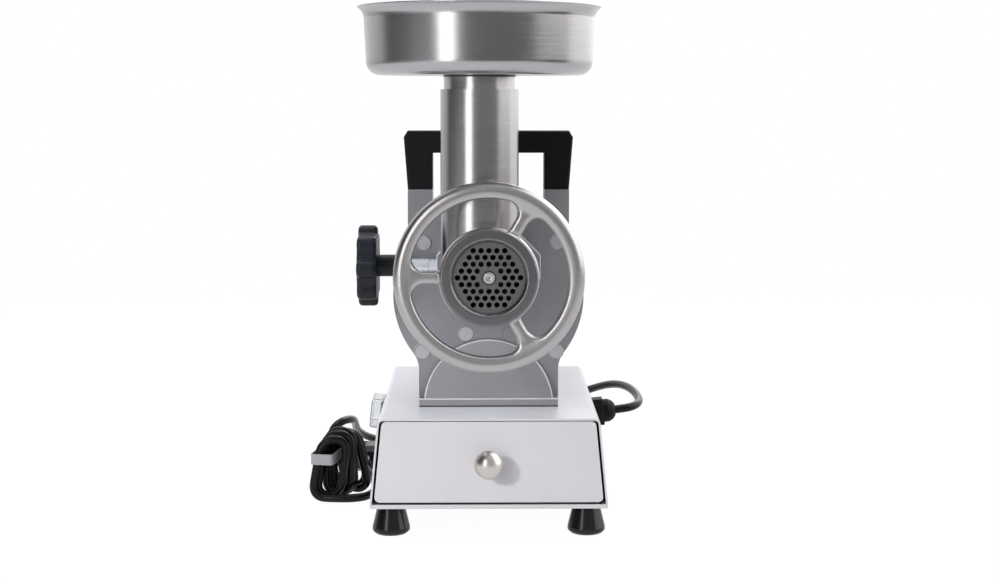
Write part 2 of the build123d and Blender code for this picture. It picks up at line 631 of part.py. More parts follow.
# Motor shaft with the first pinion cut on its front end
with BuildPart() as motor_shaft:
    with BuildSketch(facing(11)):
        with BuildLine():
            Polyline(
                *gear_outline(FIRST_MODULE, PINION_TEETH, TOWARDS_IDLER, 1.0, 0, CASE_HEIGHT),
                close=True,
            )
        make_face()
    extrude(amount=-10.5)
    bar(21, 147, SHAFT_RADIUS, 0, CASE_HEIGHT)
motor_shaft.part.label = "motor_shaft"
export_step(motor_shaft.part, "parts/motor_shaft.step")

# Idler gear, and its shaft with the second pinion
with BuildPart() as idler_gear:
    gap_angle = TOWARDS_IDLER + pi + pi / IDLER_TEETH
    with BuildSketch(facing(12)):
        with BuildLine():
            Polyline(
                *gear_outline(FIRST_MODULE, IDLER_TEETH, gap_angle, 0.75, IDLER_X, IDLER_Z),
                close=True,
            )
        make_face()
        with Locations((IDLER_X, IDLER_Z)):
            Circle(6.02, mode=Mode.SUBTRACT)
            with PolarLocations(14, 5):
                Circle(4, mode=Mode.SUBTRACT)
    extrude(amount=-8)
idler_gear.part.label = "idler_gear"
export_step(idler_gear.part, "parts/idler_gear.step")

with BuildPart() as idler_shaft:
    with BuildSketch(facing(-3)):
        with BuildLine():
            Polyline(
                *gear_outline(SECOND_MODULE, PINION_TEETH, TOWARDS_OUTPUT, 1.0, IDLER_X, IDLER_Z),
                close=True,
            )
        make_face()
    extrude(amount=-13.5)
    bar(BUSH_FRONT + 0.5, -2.5, 4.95, IDLER_X, IDLER_Z)
    bar(10, 20.5, 6.0, IDLER_X, IDLER_Z)
    bar(20, CASE_BACK + 7, 4.95, IDLER_X, IDLER_Z)
idler_shaft.part.label = "idler_shaft"
export_step(idler_shaft.part, "parts/idler_shaft.step")

# Output gear and shaft, with the square socket that drives the auger
OUTPUT_RADIUS = 12.45
with BuildPart() as output_gear:
    gap_angle = TOWARDS_OUTPUT + pi + pi / OUTPUT_TEETH
    with BuildSketch(facing(-2)):
        with BuildLine():
            Polyline(
                *gear_outline(SECOND_MODULE, OUTPUT_TEETH, gap_angle, 0.75, 0, HEAD_HEIGHT),
                close=True,
            )
        make_face()
        with Locations((0, HEAD_HEIGHT)):
            Circle(11.02, mode=Mode.SUBTRACT)
            with PolarLocations(21, 6):
                Circle(5, mode=Mode.SUBTRACT)
    extrude(amount=-11)
output_gear.part.label = "output_gear"
export_step(output_gear.part, "parts/output_gear.step")

SOCKET_HALF = 6.8
with BuildPart() as output_shaft:
    bar(-17, -3.5, OUTPUT_RADIUS, 0, HEAD_HEIGHT)
    bar(-3.5, 9.5, 11.0, 0, HEAD_HEIGHT)
    bar(9.5, CASE_BACK + 7.5, 5.95, 0, HEAD_HEIGHT)
    socket_low = HEAD_HEIGHT - SOCKET_HALF
    socket_high = HEAD_HEIGHT + SOCKET_HALF
    block(-SOCKET_HALF, SOCKET_HALF, -18, -5, socket_low, socket_high, Mode.SUBTRACT)
output_shaft.part.label = "output_shaft"
export_step(output_shaft.part, "parts/output_shaft.step")

with BuildPart() as output_bearing:
    bar(BEARING_FRONT, BEARING_BACK, 20.98, 0, HEAD_HEIGHT)
    bar(BEARING_FRONT - 1, BEARING_BACK + 1, OUTPUT_RADIUS + 0.05, 0, HEAD_HEIGHT, Mode.SUBTRACT)
output_bearing.part.label = "output_bearing"
export_step(output_bearing.part, "parts/output_bearing.step")

# Plain bushes: two of the idler shaft, and one of the output shaft's rear end
with BuildPart() as shaft_bushes:
    for y in (BUSH_FRONT, CASE_BACK):
        bar(y, y + 8, 6.98, IDLER_X, IDLER_Z)
        bar(y, y + 8, 5.0, IDLER_X, IDLER_Z, Mode.SUBTRACT)
    bar(CASE_BACK, CASE_BACK + 8, 8.98, 0, HEAD_HEIGHT)
    bar(CASE_BACK, CASE_BACK + 8, 6.0, 0, HEAD_HEIGHT, Mode.SUBTRACT)
shaft_bushes.part.label = "shaft_bushes"
export_step(shaft_bushes.part, "parts/shaft_bushes.step")

with BuildPart() as shaft_seal:
    bar(COLLAR_FLOOR, SEAL_FLOOR, 18.98, 0, HEAD_HEIGHT)
    bar(COLLAR_FLOOR - 1, SEAL_FLOOR + 1, OUTPUT_RADIUS + 0.05, 0, HEAD_HEIGHT, Mode.SUBTRACT)
shaft_seal.part.label = "shaft_seal"
export_step(shaft_seal.part, "parts/shaft_seal.step")

# Carrying handle, moulded, standing on the two ears
HANDLE_TOP = 315.2
HANDLE_UNDER = 297.5
HANDLE_FRONT = -13.0
HANDLE_DEPTH = 24.0
with BuildPart() as handle:
    with BuildSketch(facing(HANDLE_FRONT)) as grip:
        with BuildLine():
            Polyline(
                (EAR_OUTER, EAR_TOP),
                (68.2, HANDLE_TOP - 5),
                (65.2, HANDLE_TOP),
                (-65.2, HANDLE_TOP),
                (-68.2, HANDLE_TOP - 5),
                (-EAR_OUTER, EAR_TOP),
                (-EAR_INNER, EAR_TOP),
                (-EAR_INNER, HANDLE_UNDER),
                (EAR_INNER, HANDLE_UNDER),
                (EAR_INNER, EAR_TOP),
                close=True,
            )
        make_face()
    extrude(amount=-HANDLE_DEPTH)
    front_edges = handle.faces().sort_by(Axis.Y)[0].edges()
    back_edges = handle.faces().sort_by(Axis.Y)[-1].edges()
    fillet((front_edges + back_edges).filter_by(lambda e: e.center().Z > EAR_TOP + 0.1), 2.2)
    for side in (-1, 1):
        post(EAR_TOP - 1, EAR_TOP + 16, 4.05, side * STUD_X, STUD_Y, Mode.SUBTRACT)
handle.part.label = "handle"
export_step(handle.part, "parts/handle.step")

with BuildPart() as handle_studs:
    for side in (-1, 1):
        post(EAR_TOP - 15.5, EAR_TOP + 15.5, 4.0, side * STUD_X, STUD_Y)
handle_studs.part.label = "handle_studs"
export_step(handle_studs.part, "parts/handle_studs.step")

# Clamp screw and its lobed knob, on the left of the collar
CLAMP_TIP = -SPIGOT_RADIUS - 0.3
NECK_END = -72.0
LOBES = 8
with BuildPart() as clamp_screw:
    side_bar(-99, -48, 5.4, CLAMP_Y, HEAD_HEIGHT)
    side_bar(-48, CLAMP_TIP, 5.0, CLAMP_Y, HEAD_HEIGHT)
    chamfer(clamp_screw.edges().sort_by(Axis.X)[-1], 0.8)
clamp_screw.part.label = "clamp_screw"
export_step(clamp_screw.part, "parts/clamp_screw.step")

with BuildPart() as clamp_knob:
    with BuildSketch(Plane.YZ.offset(CLAMP_OUTER)) as lobed:
        with Locations((CLAMP_Y, HEAD_HEIGHT)):
            Circle(27.5)
            with PolarLocations(25.0, LOBES):
                Circle(7.2)
        fillet(lobed.vertices(), 2.5)
    extrude(amount=CLAMP_INNER - CLAMP_OUTER)
    rims = clamp_knob.faces().filter_by(Axis.X).edges()
    fillet(rims, 3.0)
    side_bar(CLAMP_OUTER, CLAMP_OUTER + 3, 17.0, CLAMP_Y, HEAD_HEIGHT, Mode.SUBTRACT)
    side_bar(CLAMP_INNER, NECK_END, 8.7, CLAMP_Y, HEAD_HEIGHT)
    side_bar(-99, NECK_END + 1, 5.42, CLAMP_Y, HEAD_HEIGHT, Mode.SUBTRACT)
clamp_knob.part.label = "clamp_knob"
export_step(clamp_knob.part, "parts/clamp_knob.step")

PLATE_FRONT = HUB_FRONT + LIP
PLATE_BACK = PLATE_FRONT + PLATE_THICK
BARREL_FRONT = PLATE_FRONT + 2.0
THREAD_BACK = HUB_BACK + 0.5
BARREL_BACK = COLLAR_FRONT - 0.5
BARREL_FLOOR = -30.0
BOSS_TOP = HEAD_HEIGHT
KEY_Z = HEAD_HEIGHT - PLATE_RADIUS

# Head barrel, with the seat for the plate in front and a spigot behind
with BuildPart() as head_barrel:
    bar(BARREL_FRONT, THREAD_BACK, THREAD_RADIUS, 0, HEAD_HEIGHT)
    bar(THREAD_BACK, BARREL_BACK, BARREL_RADIUS, 0, HEAD_HEIGHT)
    bar(BARREL_BACK, HEAD_BACK, SPIGOT_RADIUS, 0, HEAD_HEIGHT)
    post(BOSS_TOP - 14, BOSS_TOP, TUBE_RADIUS, TUBE_X, TUBE_Y)
    bar(PLATE_FRONT, PLATE_BACK, PLATE_RADIUS + 0.15, 0, HEAD_HEIGHT, Mode.SUBTRACT)
    bar(PLATE_FRONT, BARREL_FLOOR, BORE_RADIUS, 0, HEAD_HEIGHT, Mode.SUBTRACT)
    bar(BARREL_FLOOR - 1, HEAD_BACK + 1, 11.05, 0, HEAD_HEIGHT, Mode.SUBTRACT)
    post(HEAD_HEIGHT, HEAD_HEIGHT + 50, TUBE_RADIUS - 4.5, TUBE_X, TUBE_Y, Mode.SUBTRACT)
    bar(PLATE_FRONT, PLATE_BACK + 4, 2.02, 0, KEY_Z, Mode.SUBTRACT)
head_barrel.part.label = "head_barrel"
export_step(head_barrel.part, "parts/head_barrel.step")

# Feed tube, welded on the barrel, with a ledge inside that the pan's spigot stands on
with BuildPart() as feed_tube:
    post(BOSS_TOP, TUBE_TOP, TUBE_RADIUS, TUBE_X, TUBE_Y)
    post(BOSS_TOP - 1, TUBE_LEDGE, TUBE_RADIUS - 4.5, TUBE_X, TUBE_Y, Mode.SUBTRACT)
    post(TUBE_LEDGE, TUBE_TOP + 1, TUBE_RADIUS - 2.5, TUBE_X, TUBE_Y, Mode.SUBTRACT)
    bar(THREAD_BACK - 5, BARREL_BACK + 5, BARREL_RADIUS, 0, HEAD_HEIGHT, Mode.SUBTRACT)
feed_tube.part.label = "feed_tube"
export_step(feed_tube.part, "parts/feed_tube.step")

with BuildPart() as plate_key:
    bar(PLATE_FRONT + 1, PLATE_BACK + 3.5, 2.0, 0, KEY_Z)
plate_key.part.label = "plate_key"
export_step(plate_key.part, "parts/plate_key.step")

# Grinding plate: six-sided pattern of holes, without the seven in the middle
HOLE_PITCH = 5.86
HOLE_RADIUS = 2.0
HOLE_RINGS = 4
STUD_RADIUS = 4.3
holes = []
for q in range(-HOLE_RINGS, HOLE_RINGS + 1):
    for r in range(-HOLE_RINGS, HOLE_RINGS + 1):
        ring = max(abs(q), abs(r), abs(q + r))
        if 1 < ring <= HOLE_RINGS:
            holes.append((HOLE_PITCH * (q + r / 2), HEAD_HEIGHT + HOLE_PITCH * sqrt(3) / 2 * r))
with BuildPart() as grinding_plate:
    with BuildSketch(facing(PLATE_FRONT)):
        with Locations((0, HEAD_HEIGHT)):
            Circle(PLATE_RADIUS)
            Circle(STUD_RADIUS + 0.08, mode=Mode.SUBTRACT)
        with Locations((0, KEY_Z)):
            Circle(2.3, mode=Mode.SUBTRACT)
        with Locations(*holes):
            Circle(HOLE_RADIUS, mode=Mode.SUBTRACT)
    extrude(amount=-PLATE_THICK)
    bar(PLATE_FRONT - 1, PLATE_FRONT + 1.2, STUD_RADIUS + 1.0, 0, HEAD_HEIGHT, Mode.SUBTRACT)
grinding_plate.part.label = "grinding_plate"
export_step(grinding_plate.part, "parts/grinding_plate.step")

# Ring nut: hub that holds the plate, and a handwheel on three spokes
SPOKE_WIDTH = 8.6
WEB_THICK = 8.0
WEB_OUTER = 62.5
WEB_INNER = 36.0
with BuildPart() as ring_nut:
    with BuildSketch(facing(RIM_Y - WEB_THICK / 2)):
        with Locations((0, HEAD_HEIGHT)):
            Circle(WEB_OUTER)
            Circle(WEB_INNER, mode=Mode.SUBTRACT)
    extrude(amount=-WEB_THICK)
    with BuildSketch(facing(RIM_Y - WEB_THICK / 2)) as windows:
        with Locations((0, HEAD_HEIGHT)):
            Circle(WHEEL_RADIUS - 2 * RIM_RADIUS + 0.3)
            Circle(HUB_RADIUS + 0.6, mode=Mode.SUBTRACT)
            with PolarLocations(48, 3, start_angle=60):
                Rectangle(44, SPOKE_WIDTH, mode=Mode.SUBTRACT)
        corners = windows.vertices()
        outer_corners = corners.filter_by(lambda v: hypot(v.X, v.Y - HEAD_HEIGHT) > 48)
        fillet(outer_corners, 9.5)
        inner_corners = windows.vertices().filter_by(lambda v: hypot(v.X, v.Y - HEAD_HEIGHT) < 42)
        fillet(inner_corners, 3.0)
    extrude(amount=-WEB_THICK, mode=Mode.SUBTRACT)
    face_edges = ring_nut.edges().filter_by(
        lambda e: abs(abs(e.position_at(0.5).Y - RIM_Y) - WEB_THICK / 2) < 0.01
    )
    window_edges = face_edges.filter_by(
        lambda e: WEB_INNER + 0.5
        < hypot(e.position_at(0.5).X, e.position_at(0.5).Z - HEAD_HEIGHT)
        < WEB_OUTER - 0.5
    )
    fillet(window_edges, 2.2)
    with Locations((0, RIM_Y, HEAD_HEIGHT)):
        Torus(WHEEL_RADIUS - RIM_RADIUS, RIM_RADIUS, rotation=(90, 0, 0))
    with BuildSketch(Plane.XY.offset(HEAD_HEIGHT)):
        with BuildLine():
            Polyline(
                (MOUTH_RADIUS, PLATE_FRONT),
                (MOUTH_RADIUS, HUB_FRONT + 1.8),
                (HUB_RADIUS - 1.5, HUB_FRONT),
                (HUB_RADIUS, HUB_FRONT + 1.5),
                (HUB_RADIUS, HUB_BACK),
                (THREAD_RADIUS + 0.08, HUB_BACK),
                (THREAD_RADIUS + 0.08, PLATE_FRONT),
                close=True,
            )
        make_face()
    revolve(axis=Axis((0, 0, HEAD_HEIGHT), (0, 1, 0)))
ring_nut.part.label = "ring_nut"
export_step(ring_nut.part, "parts/ring_nut.step")

# Knife: four blades behind the plate
KNIFE_FRONT = PLATE_BACK + 0.2
KNIFE_BACK = KNIFE_FRONT + 8
with BuildPart() as knife:
    with BuildSketch(facing(KNIFE_FRONT)):
        with Locations((0, HEAD_HEIGHT)):
            Circle(10.5)
            with PolarLocations(13, 4, start_angle=45):
                Rectangle(25.6, 10)
            Rectangle(9.7, 9.7, mode=Mode.SUBTRACT)
    extrude(amount=-8)
knife.part.label = "knife"
export_step(knife.part, "parts/knife.step")

# Auger: a core with a screw flight, turned by a square tang
AUGER_FRONT = KNIFE_BACK + 0.3
AUGER_BACK = BARREL_FLOOR - 1.6
FLIGHT_PITCH = 26.0
FLIGHT_STEP = 20
FLIGHT_RADIUS = 26.0
FLIGHT_ROOT = 10.0
FLIGHT_THICK = 3.6
TANG_HALF = 6.6
flight_front = AUGER_FRONT + FLIGHT_THICK / 2 + 0.2
flight_turn = 360 * (AUGER_BACK - flight_front - FLIGHT_THICK / 2 - 0.2) / FLIGHT_PITCH
with BuildPart() as auger:
    for step in range(int(flight_turn / FLIGHT_STEP) + 1):
        angle = radians(step * FLIGHT_STEP)
        section = Plane(
            origin=(0, flight_front + FLIGHT_PITCH * angle / (2 * pi), HEAD_HEIGHT),
            x_dir=(cos(angle), 0, sin(angle)),
            z_dir=(-sin(angle), 0, cos(angle)),
        )
        with BuildSketch(section):
            with Locations(((FLIGHT_ROOT + FLIGHT_RADIUS) / 2, 0)):
                Rectangle(FLIGHT_RADIUS - FLIGHT_ROOT, FLIGHT_THICK)
    loft(ruled=True)
    bar(AUGER_FRONT, AUGER_BACK, 12.0, 0, HEAD_HEIGHT)
    bar(AUGER_BACK, HEAD_BACK, 11.0, 0, HEAD_HEIGHT)
    block(
        -TANG_HALF, TANG_HALF, HEAD_BACK, -6, HEAD_HEIGHT - TANG_HALF, HEAD_HEIGHT + TANG_HALF
    )
    bar(AUGER_FRONT - 1, AUGER_FRONT + 18, 4.05, 0, HEAD_HEIGHT, Mode.SUBTRACT)
auger.part.label = "auger"
export_step(auger.part, "parts/auger.step")

with BuildPart() as auger_stud:
    bar(PLATE_FRONT - 1.8, PLATE_BACK + 0.1, STUD_RADIUS, 0, HEAD_HEIGHT)
    block(-4.7, 4.7, PLATE_BACK + 0.1, AUGER_FRONT, HEAD_HEIGHT - 4.7, HEAD_HEIGHT + 4.7)
    bar(AUGER_FRONT, AUGER_FRONT + 17, 4.0, 0, HEAD_HEIGHT)
auger_stud.part.label = "auger_stud"
export_step(auger_stud.part, "parts/auger_stud.step")

with BuildPart() as thrust_washer:
    bar(AUGER_BACK, BARREL_FLOOR - 0.3, 18.0, 0, HEAD_HEIGHT)
    bar(AUGER_BACK - 1, BARREL_FLOOR + 1, 11.05, 0, HEAD_HEIGHT, Mode.SUBTRACT)
thrust_washer.part.label = "thrust_washer"
export_step(thrust_washer.part, "parts/thrust_washer.step")

# Feed pan: a spun bowl with a rolled rim, on a spigot that drops into the feed tube
PAN_AXIS = Axis((TUBE_X, TUBE_Y, 0), (0, 0, 1))
SPIGOT_OUTER = 27.2
with BuildPart() as feed_pan:
    with BuildSketch(Plane(origin=(TUBE_X, TUBE_Y, 0), x_dir=(1, 0, 0), z_dir=(0, -1, 0))):
        with BuildLine() as wall:
            floor_z = PAN_BOTTOM + PAN_SHEET / 2
            wall_radius = PAN_RADIUS - PAN_SHEET / 2
            flat = Line((SPIGOT_OUTER + 0.7, floor_z), (wall_radius - 1.6 - PAN_CORNER, floor_z))
            corner = TangentArc(flat @ 1, (wall_radius - 1.6, floor_z + PAN_CORNER), tangent=flat % 1)
            side_line = Line(corner @ 1, (wall_radius, PAN_TOP - 9))
            lip = TangentArc(side_line @ 1, (PAN_RIM - 0.6, PAN_TOP - 0.6), tangent=side_line % 1)
            offset(wall.wires()[0], amount=PAN_SHEET / 2)
        make_face()
    revolve(axis=PAN_AXIS)
feed_pan.part.label = "feed_pan"
export_step(feed_pan.part, "parts/feed_pan.step")

with BuildPart() as pan_spigot:
    post(TUBE_LEDGE, PAN_BOTTOM + PAN_SHEET, SPIGOT_OUTER, TUBE_X, TUBE_Y)
    post(TUBE_LEDGE - 1, PAN_BOTTOM + 5, SPIGOT_OUTER - 1.2, TUBE_X, TUBE_Y, Mode.SUBTRACT)
pan_spigot.part.label = "pan_spigot"
export_step(pan_spigot.part, "parts/pan_spigot.step")

# Rocker switch in the left wall, under a clear splash cover. Its sketch axes run along the
# wall, and heights are counted outwards from the wall.
SWITCH_PLANE = wall_plane(-1, SIDE_Y, SWITCH_HEIGHT)
WINDOW_LONG = 23.0
WINDOW_SHORT = 15.0
ROCKER_PIVOT = -1.0
ROCKER_TILT = 8.0
with BuildPart() as switch_body:
    with BuildSketch(SWITCH_PLANE.offset(-18)):
        Rectangle(27.0, 19.0)
    extrude(amount=18)
    with BuildSketch(SWITCH_PLANE):
        RectangleRounded(31.0, 21.2, 2.0)
    extrude(amount=2)
    with BuildSketch(SWITCH_PLANE.offset(-6)):
        Rectangle(WINDOW_LONG, WINDOW_SHORT)
    extrude(amount=9, mode=Mode.SUBTRACT)
    with BuildSketch(SWITCH_PLANE.offset(-26)):
        with Locations((-8, 0), (0, 0), (8, 0)):
            Rectangle(0.8, 6.3)
    extrude(amount=8)
switch_body.part.label = "switch_body"
export_step(switch_body.part, "parts/switch_body.step")

rocker_across = Plane(
    origin=SWITCH_PLANE.from_local_coords((0, 0, ROCKER_PIVOT)),
    x_dir=SWITCH_PLANE.x_dir.rotate(Axis((0, 0, 0), SWITCH_PLANE.y_dir), ROCKER_TILT),
    z_dir=SWITCH_PLANE.y_dir,
)
with BuildPart() as switch_rocker:
    with BuildSketch(rocker_across):
        with BuildLine():
            Polyline((-10.8, 2.2), (10.8, 2.2))
            Line((10.8, 2.2), (10.8, -3.2))
            ThreePointArc((10.8, -3.2), (0, -2.2), (-10.8, -3.2))
            Line((-10.8, -3.2), (-10.8, 2.2))
        make_face()
    extrude(amount=WINDOW_SHORT / 2 - 0.35, both=True)
switch_rocker.part.label = "switch_rocker"
export_step(switch_rocker.part, "parts/switch_rocker.step")

COVER_LONG = 34.5
COVER_SHORT = 24.0
COVER_HEIGHT = 10.4
COVER_WALL = 0.9
with BuildPart() as switch_cover:
    with BuildSketch(SWITCH_PLANE):
        RectangleRounded(COVER_LONG, COVER_SHORT, 4.0)
    extrude(amount=COVER_HEIGHT)
    fillet(switch_cover.faces().sort_by(Axis((0, 0, 0), SWITCH_PLANE.z_dir))[-1].edges(), 2.0)
    with BuildSketch(SWITCH_PLANE):
        RectangleRounded(COVER_LONG - 2 * COVER_WALL, COVER_SHORT - 2 * COVER_WALL, 3.1)
    extrude(amount=COVER_HEIGHT - COVER_WALL, mode=Mode.SUBTRACT)
switch_cover.part.label = "switch_cover"
export_step(switch_cover.part, "parts/switch_cover.step")

# Cable gland in the right wall
GLAND_PLANE = wall_plane(1, SIDE_Y, GLAND_HEIGHT)
GLAND_LENGTH = 18.9
GLAND_HEX = 9.0
GLAND_BORE = CORD_RADIUS + 0.1
with BuildPart() as gland_body:
    with BuildSketch(GLAND_PLANE.offset(-10)):
        Circle(7.9)
    extrude(amount=10)
    with BuildSketch(GLAND_PLANE):
        RegularPolygon(11.0, 6, major_radius=False)
    extrude(amount=GLAND_HEX)
    with BuildSketch(GLAND_PLANE.offset(-11)):
        Circle(GLAND_BORE)
    extrude(amount=12 + GLAND_HEX, mode=Mode.SUBTRACT)
gland_body.part.label = "gland_body"
export_step(gland_body.part, "parts/gland_body.step")

with BuildPart() as gland_nut:
    with BuildSketch(GLAND_PLANE.offset(GLAND_HEX)):
        Circle(9.6)
    with BuildSketch(GLAND_PLANE.offset(GLAND_HEX + 4)):
        Circle(9.6)
    with BuildSketch(GLAND_PLANE.offset(GLAND_HEX + 7.6)):
        Circle(7.9)
    with BuildSketch(GLAND_PLANE.offset(GLAND_LENGTH)):
        Circle(5.0)
    loft(ruled=True)
    with BuildSketch(GLAND_PLANE.offset(GLAND_HEX - 1)):
        Circle(GLAND_BORE)
    extrude(amount=GLAND_LENGTH, mode=Mode.SUBTRACT)
gland_nut.part.label = "gland_nut"
export_step(gland_nut.part, "parts/gland_nut.step")

# Run capacitor on the bottom plate, behind the partition
CAPACITOR_Y = 118.0
CAPACITOR_Z = PLATE_TOP + 17.0
with BuildPart() as run_capacitor:
    side_bar(-38, 30, 17.0, CAPACITOR_Y, CAPACITOR_Z)
    side_bar(30, 34, 12.0, CAPACITOR_Y, CAPACITOR_Z)
    for y in (CAPACITOR_Y - 5, CAPACITOR_Y + 5):
        block(34, 41, y - 0.4, y + 0.4, CAPACITOR_Z - 3, CAPACITOR_Z + 3)
run_capacitor.part.label = "run_capacitor"
export_step(run_capacitor.part, "parts/run_capacitor.step")

# Cord: from the gland round behind the base, and into a tied hank that stands on edge at the left.
# A turn of the hank is an upright loop; turns follow each other towards the front and fan out at the table.
HANK_X = -127.0
HANK_LOW = 4.1
HANK_PITCH = 7.9
HANK_FAR = 75.0
HANK_START = 0.65
HANK_END = 6.0
HANK_LEAN = 0.3
HANK_SHIFT = [(0.65, 2.0), (1.35, 15.0), (2.1, 14.0), (3.3, 1.0), (4.2, -1.5), (5.2, -10.0), (6.0, -11.5)]
HANK_WIDE = [(0.5, 11.0), (1.3, 9.8), (2.2, 9.8), (3.6, 10.8), (6.0, 11.2)]
HANK_TALL = [(0.5, 26.0), (1.5, 24.5), (2.6, 25.0), (3.6, 27.0), (6.0, 24.5)]
HANK_KNOTS = 86
PLUG_X = -110.0
PLUG_Z = 12.2
PLUG_START = 118.0
HANK_TAIL = [
    (-127.5, 31.2, 4.1),
    (-116.0, 31.0, 4.1),
    (-105.5, 35.5, 4.1),
    (-99.5, 45.5, 4.1),
    (-97.5, 58.0, 4.1),
    (-97.5, 71.0, 4.1),
    (-99.5, 84.0, 4.8),
    (-103.3, 95.0, 7.2),
    (-107.0, 104.5, 10.2),
    (-109.4, 111.5, 11.8),
    (PLUG_X, PLUG_START, PLUG_Z),
]


def eased(turn, stops):
    """Value at a turn, eased from stop to stop."""
    for (before, low), (after, high) in zip(stops, stops[1:]):
        if turn <= after:
            share = min(1.0, max(0.0, (turn - before) / (after - before)))
            return low + (high - low) * share * share * (3 - 2 * share)
    return stops[-1][1]


def hank_place(turn):
    """Middle of the cord at a turn of the hank; a whole number is at the table."""
    wide = eased(turn, HANK_WIDE)
    tall = eased(turn, HANK_TALL)
    side = 2 * (tall - wide)
    quarter = pi * wide / 2
    gone = turn % 1.0 * (4 * quarter + 2 * side)
    if gone < quarter:
        x = wide * sin(gone / wide)
        z = wide * (1 - cos(gone / wide))
    elif gone < quarter + side:
        x = wide
        z = wide + gone - quarter
    elif gone < 3 * quarter + side:
        swing = (gone - quarter - side) / wide
        x = wide * cos(swing)
        z = wide + side + wide * sin(swing)
    elif gone < 3 * quarter + 2 * side:
        x = -wide
        z = wide + side - (gone - 3 * quarter - side)
    else:
        swing = (gone - 3 * quarter - 2 * side) / wide
        x = -wide * cos(swing)
        z = wide * (1 - sin(swing))
    fan = HANK_LEAN + (1 - HANK_LEAN) * (1 - z / (2 * tall))
    y = HANK_FAR - HANK_PITCH * (turn - HANK_START)
    return (HANK_X + eased(turn, HANK_SHIFT) * fan + x, y, HANK_LOW + z)


HANK_STEP = (HANK_END - HANK_START) / HANK_KNOTS
HANK_ROUTE = [hank_place(HANK_START + i * HANK_STEP) for i in range(HANK_KNOTS + 1)]
LEAD_ROUTE = [
    tuple(GLAND_PLANE.from_local_coords((0, 0, GLAND_LENGTH))),
    (116.1, 30.7, 80.8),
    (124.6, 34.8, 81.7),
    (130.9, 42.0, 82.4),
    (134.0, 51.0, 83.0),
    (134.0, 63.5, 83.6),
    (131.8, 81.0, 84.2),
    (127.0, 103.0, 84.0),
    (119.5, 125.5, 82.0),
    (109.5, 147.5, 78.0),
    (98.0, 169.5, 71.5),
    (80.5, 186.5, 62.0),
    (59.5, 197.5, 49.5),
    (35.0, 203.5, 35.5),
    (8.5, 206.2, 22.5),
    (-19.5, 206.8, 14.0),
    (-48.5, 206.2, 10.5),
    (-76.0, 204.5, 11.5),
    (-98.0, 198.5, 15.5),
    (-113.0, 186.0, 22.5),
    (-120.0, 168.0, 31.5),
    (-121.0, 147.0, 41.0),
    (-120.0, 127.0, 49.5),
    (-120.5, 111.0, 55.0),
    (-123.0, 98.5, 57.6),
    (-127.4, 88.3, 58.4),
    (-132.0, 81.0, 56.6),
    (-135.4, 77.3, 52.8),
    (-136.8, 75.5, 47.6),
    HANK_ROUTE[0],
]


def corner_radii(route):
    """Largest even arc at each corner of a route: 0.45 of the shorter run."""
    radii = []
    for before, corner, after in zip(route, route[1:], route[2:]):
        first = Vector(*corner) - Vector(*before)
        second = Vector(*after) - Vector(*corner)
        turn = radians(first.get_angle(second))
        radii.append(0.45 * min(first.length, second.length) / tan(turn / 2))
    return radii


lead_radii = corner_radii(LEAD_ROUTE)
print("lead radii", [round(radius, 1) for radius in lead_radii])
with BuildPart() as cord_lead:
    with BuildLine() as lead_line:
        FilletPolyline(*LEAD_ROUTE, radius=lead_radii)
    with BuildSketch(Plane(origin=lead_line.line @ 0, z_dir=lead_line.line % 0)):
        Circle(CORD_RADIUS)
    sweep()
lead_length = lead_line.wires()[0].length
print("lead length", round(lead_length, 1))
print("lead volume share", cord_lead.part.volume / (pi * CORD_RADIUS**2 * lead_length))
cord_lead.part.label = "cord_lead"
export_step(cord_lead.part, "parts/cord_lead.step")


def without_straights(route):
    """Route without the points at which it hardly turns."""
    kept = [route[0]]
    for corner, after in zip(route[1:], route[2:]):
        first = Vector(*corner) - Vector(*kept[-1])
        second = Vector(*after) - Vector(*corner)
        if first.get_angle(second) > 1.5:
            kept.append(corner)
    kept.append(route[-1])
    return kept


HANK_CORNERS = without_straights(HANK_ROUTE + HANK_TAIL)
hank_radii = corner_radii(HANK_CORNERS)
print("hank corners", len(HANK_CORNERS), "least radius", round(min(hank_radii), 1))
with BuildPart() as cord_hank:
    with BuildLine() as hank_line:
        FilletPolyline(*HANK_CORNERS, radius=hank_radii)
    with BuildSketch(Plane(origin=hank_line.line @ 0, z_dir=hank_line.line % 0)):
        Circle(CORD_RADIUS)
    sweep()
cord_hank.part.label = "cord_hank"
export_step(cord_hank.part, "parts/cord_hank.step")

# Least gap of the hank to itself, measured on points along its middle
hank_wire = hank_line.wires()[0]
hank_length = hank_wire.length
HANK_POINTS = 700
hank_points = [hank_wire.position_at(i / HANK_POINTS) for i in range(HANK_POINTS + 1)]
apart = int(4 * CORD / (hank_length / HANK_POINTS))
least = min(
    (hank_points[j] - hank_points[i]).length
    for i in range(HANK_POINTS + 1)
    for j in range(i + apart, HANK_POINTS + 1)
)
print("hank length", round(hank_length, 1), "least gap", round(least - CORD, 2))
print("hank volume share", cord_hank.part.volume / (pi * CORD_RADIUS**2 * hank_length))
print("cord length", round(lead_length + hank_length, 1))

# Tie round the left strands of the hank
TIE_LOW = 33.0
TIE_WIDTH = 9.0
TIE_WALL = 0.8
TIE_LONG = 48.6
TIE_DEEP = 18.1
TIE_TURN = 79.0
TIE_PLACE = (-135.85, 54.0)
with BuildPart() as cord_tie:
    with BuildSketch(Plane.XY.offset(TIE_LOW)):
        with Locations(TIE_PLACE):
            RectangleRounded(TIE_LONG + 2 * TIE_WALL, TIE_DEEP + 2 * TIE_WALL, 3.0, rotation=TIE_TURN)
            RectangleRounded(TIE_LONG, TIE_DEEP, 2.2, rotation=TIE_TURN, mode=Mode.SUBTRACT)
    extrude(amount=TIE_WIDTH)
cord_tie.part.label = "cord_tie"
export_step(cord_tie.part, "parts/cord_tie.step")

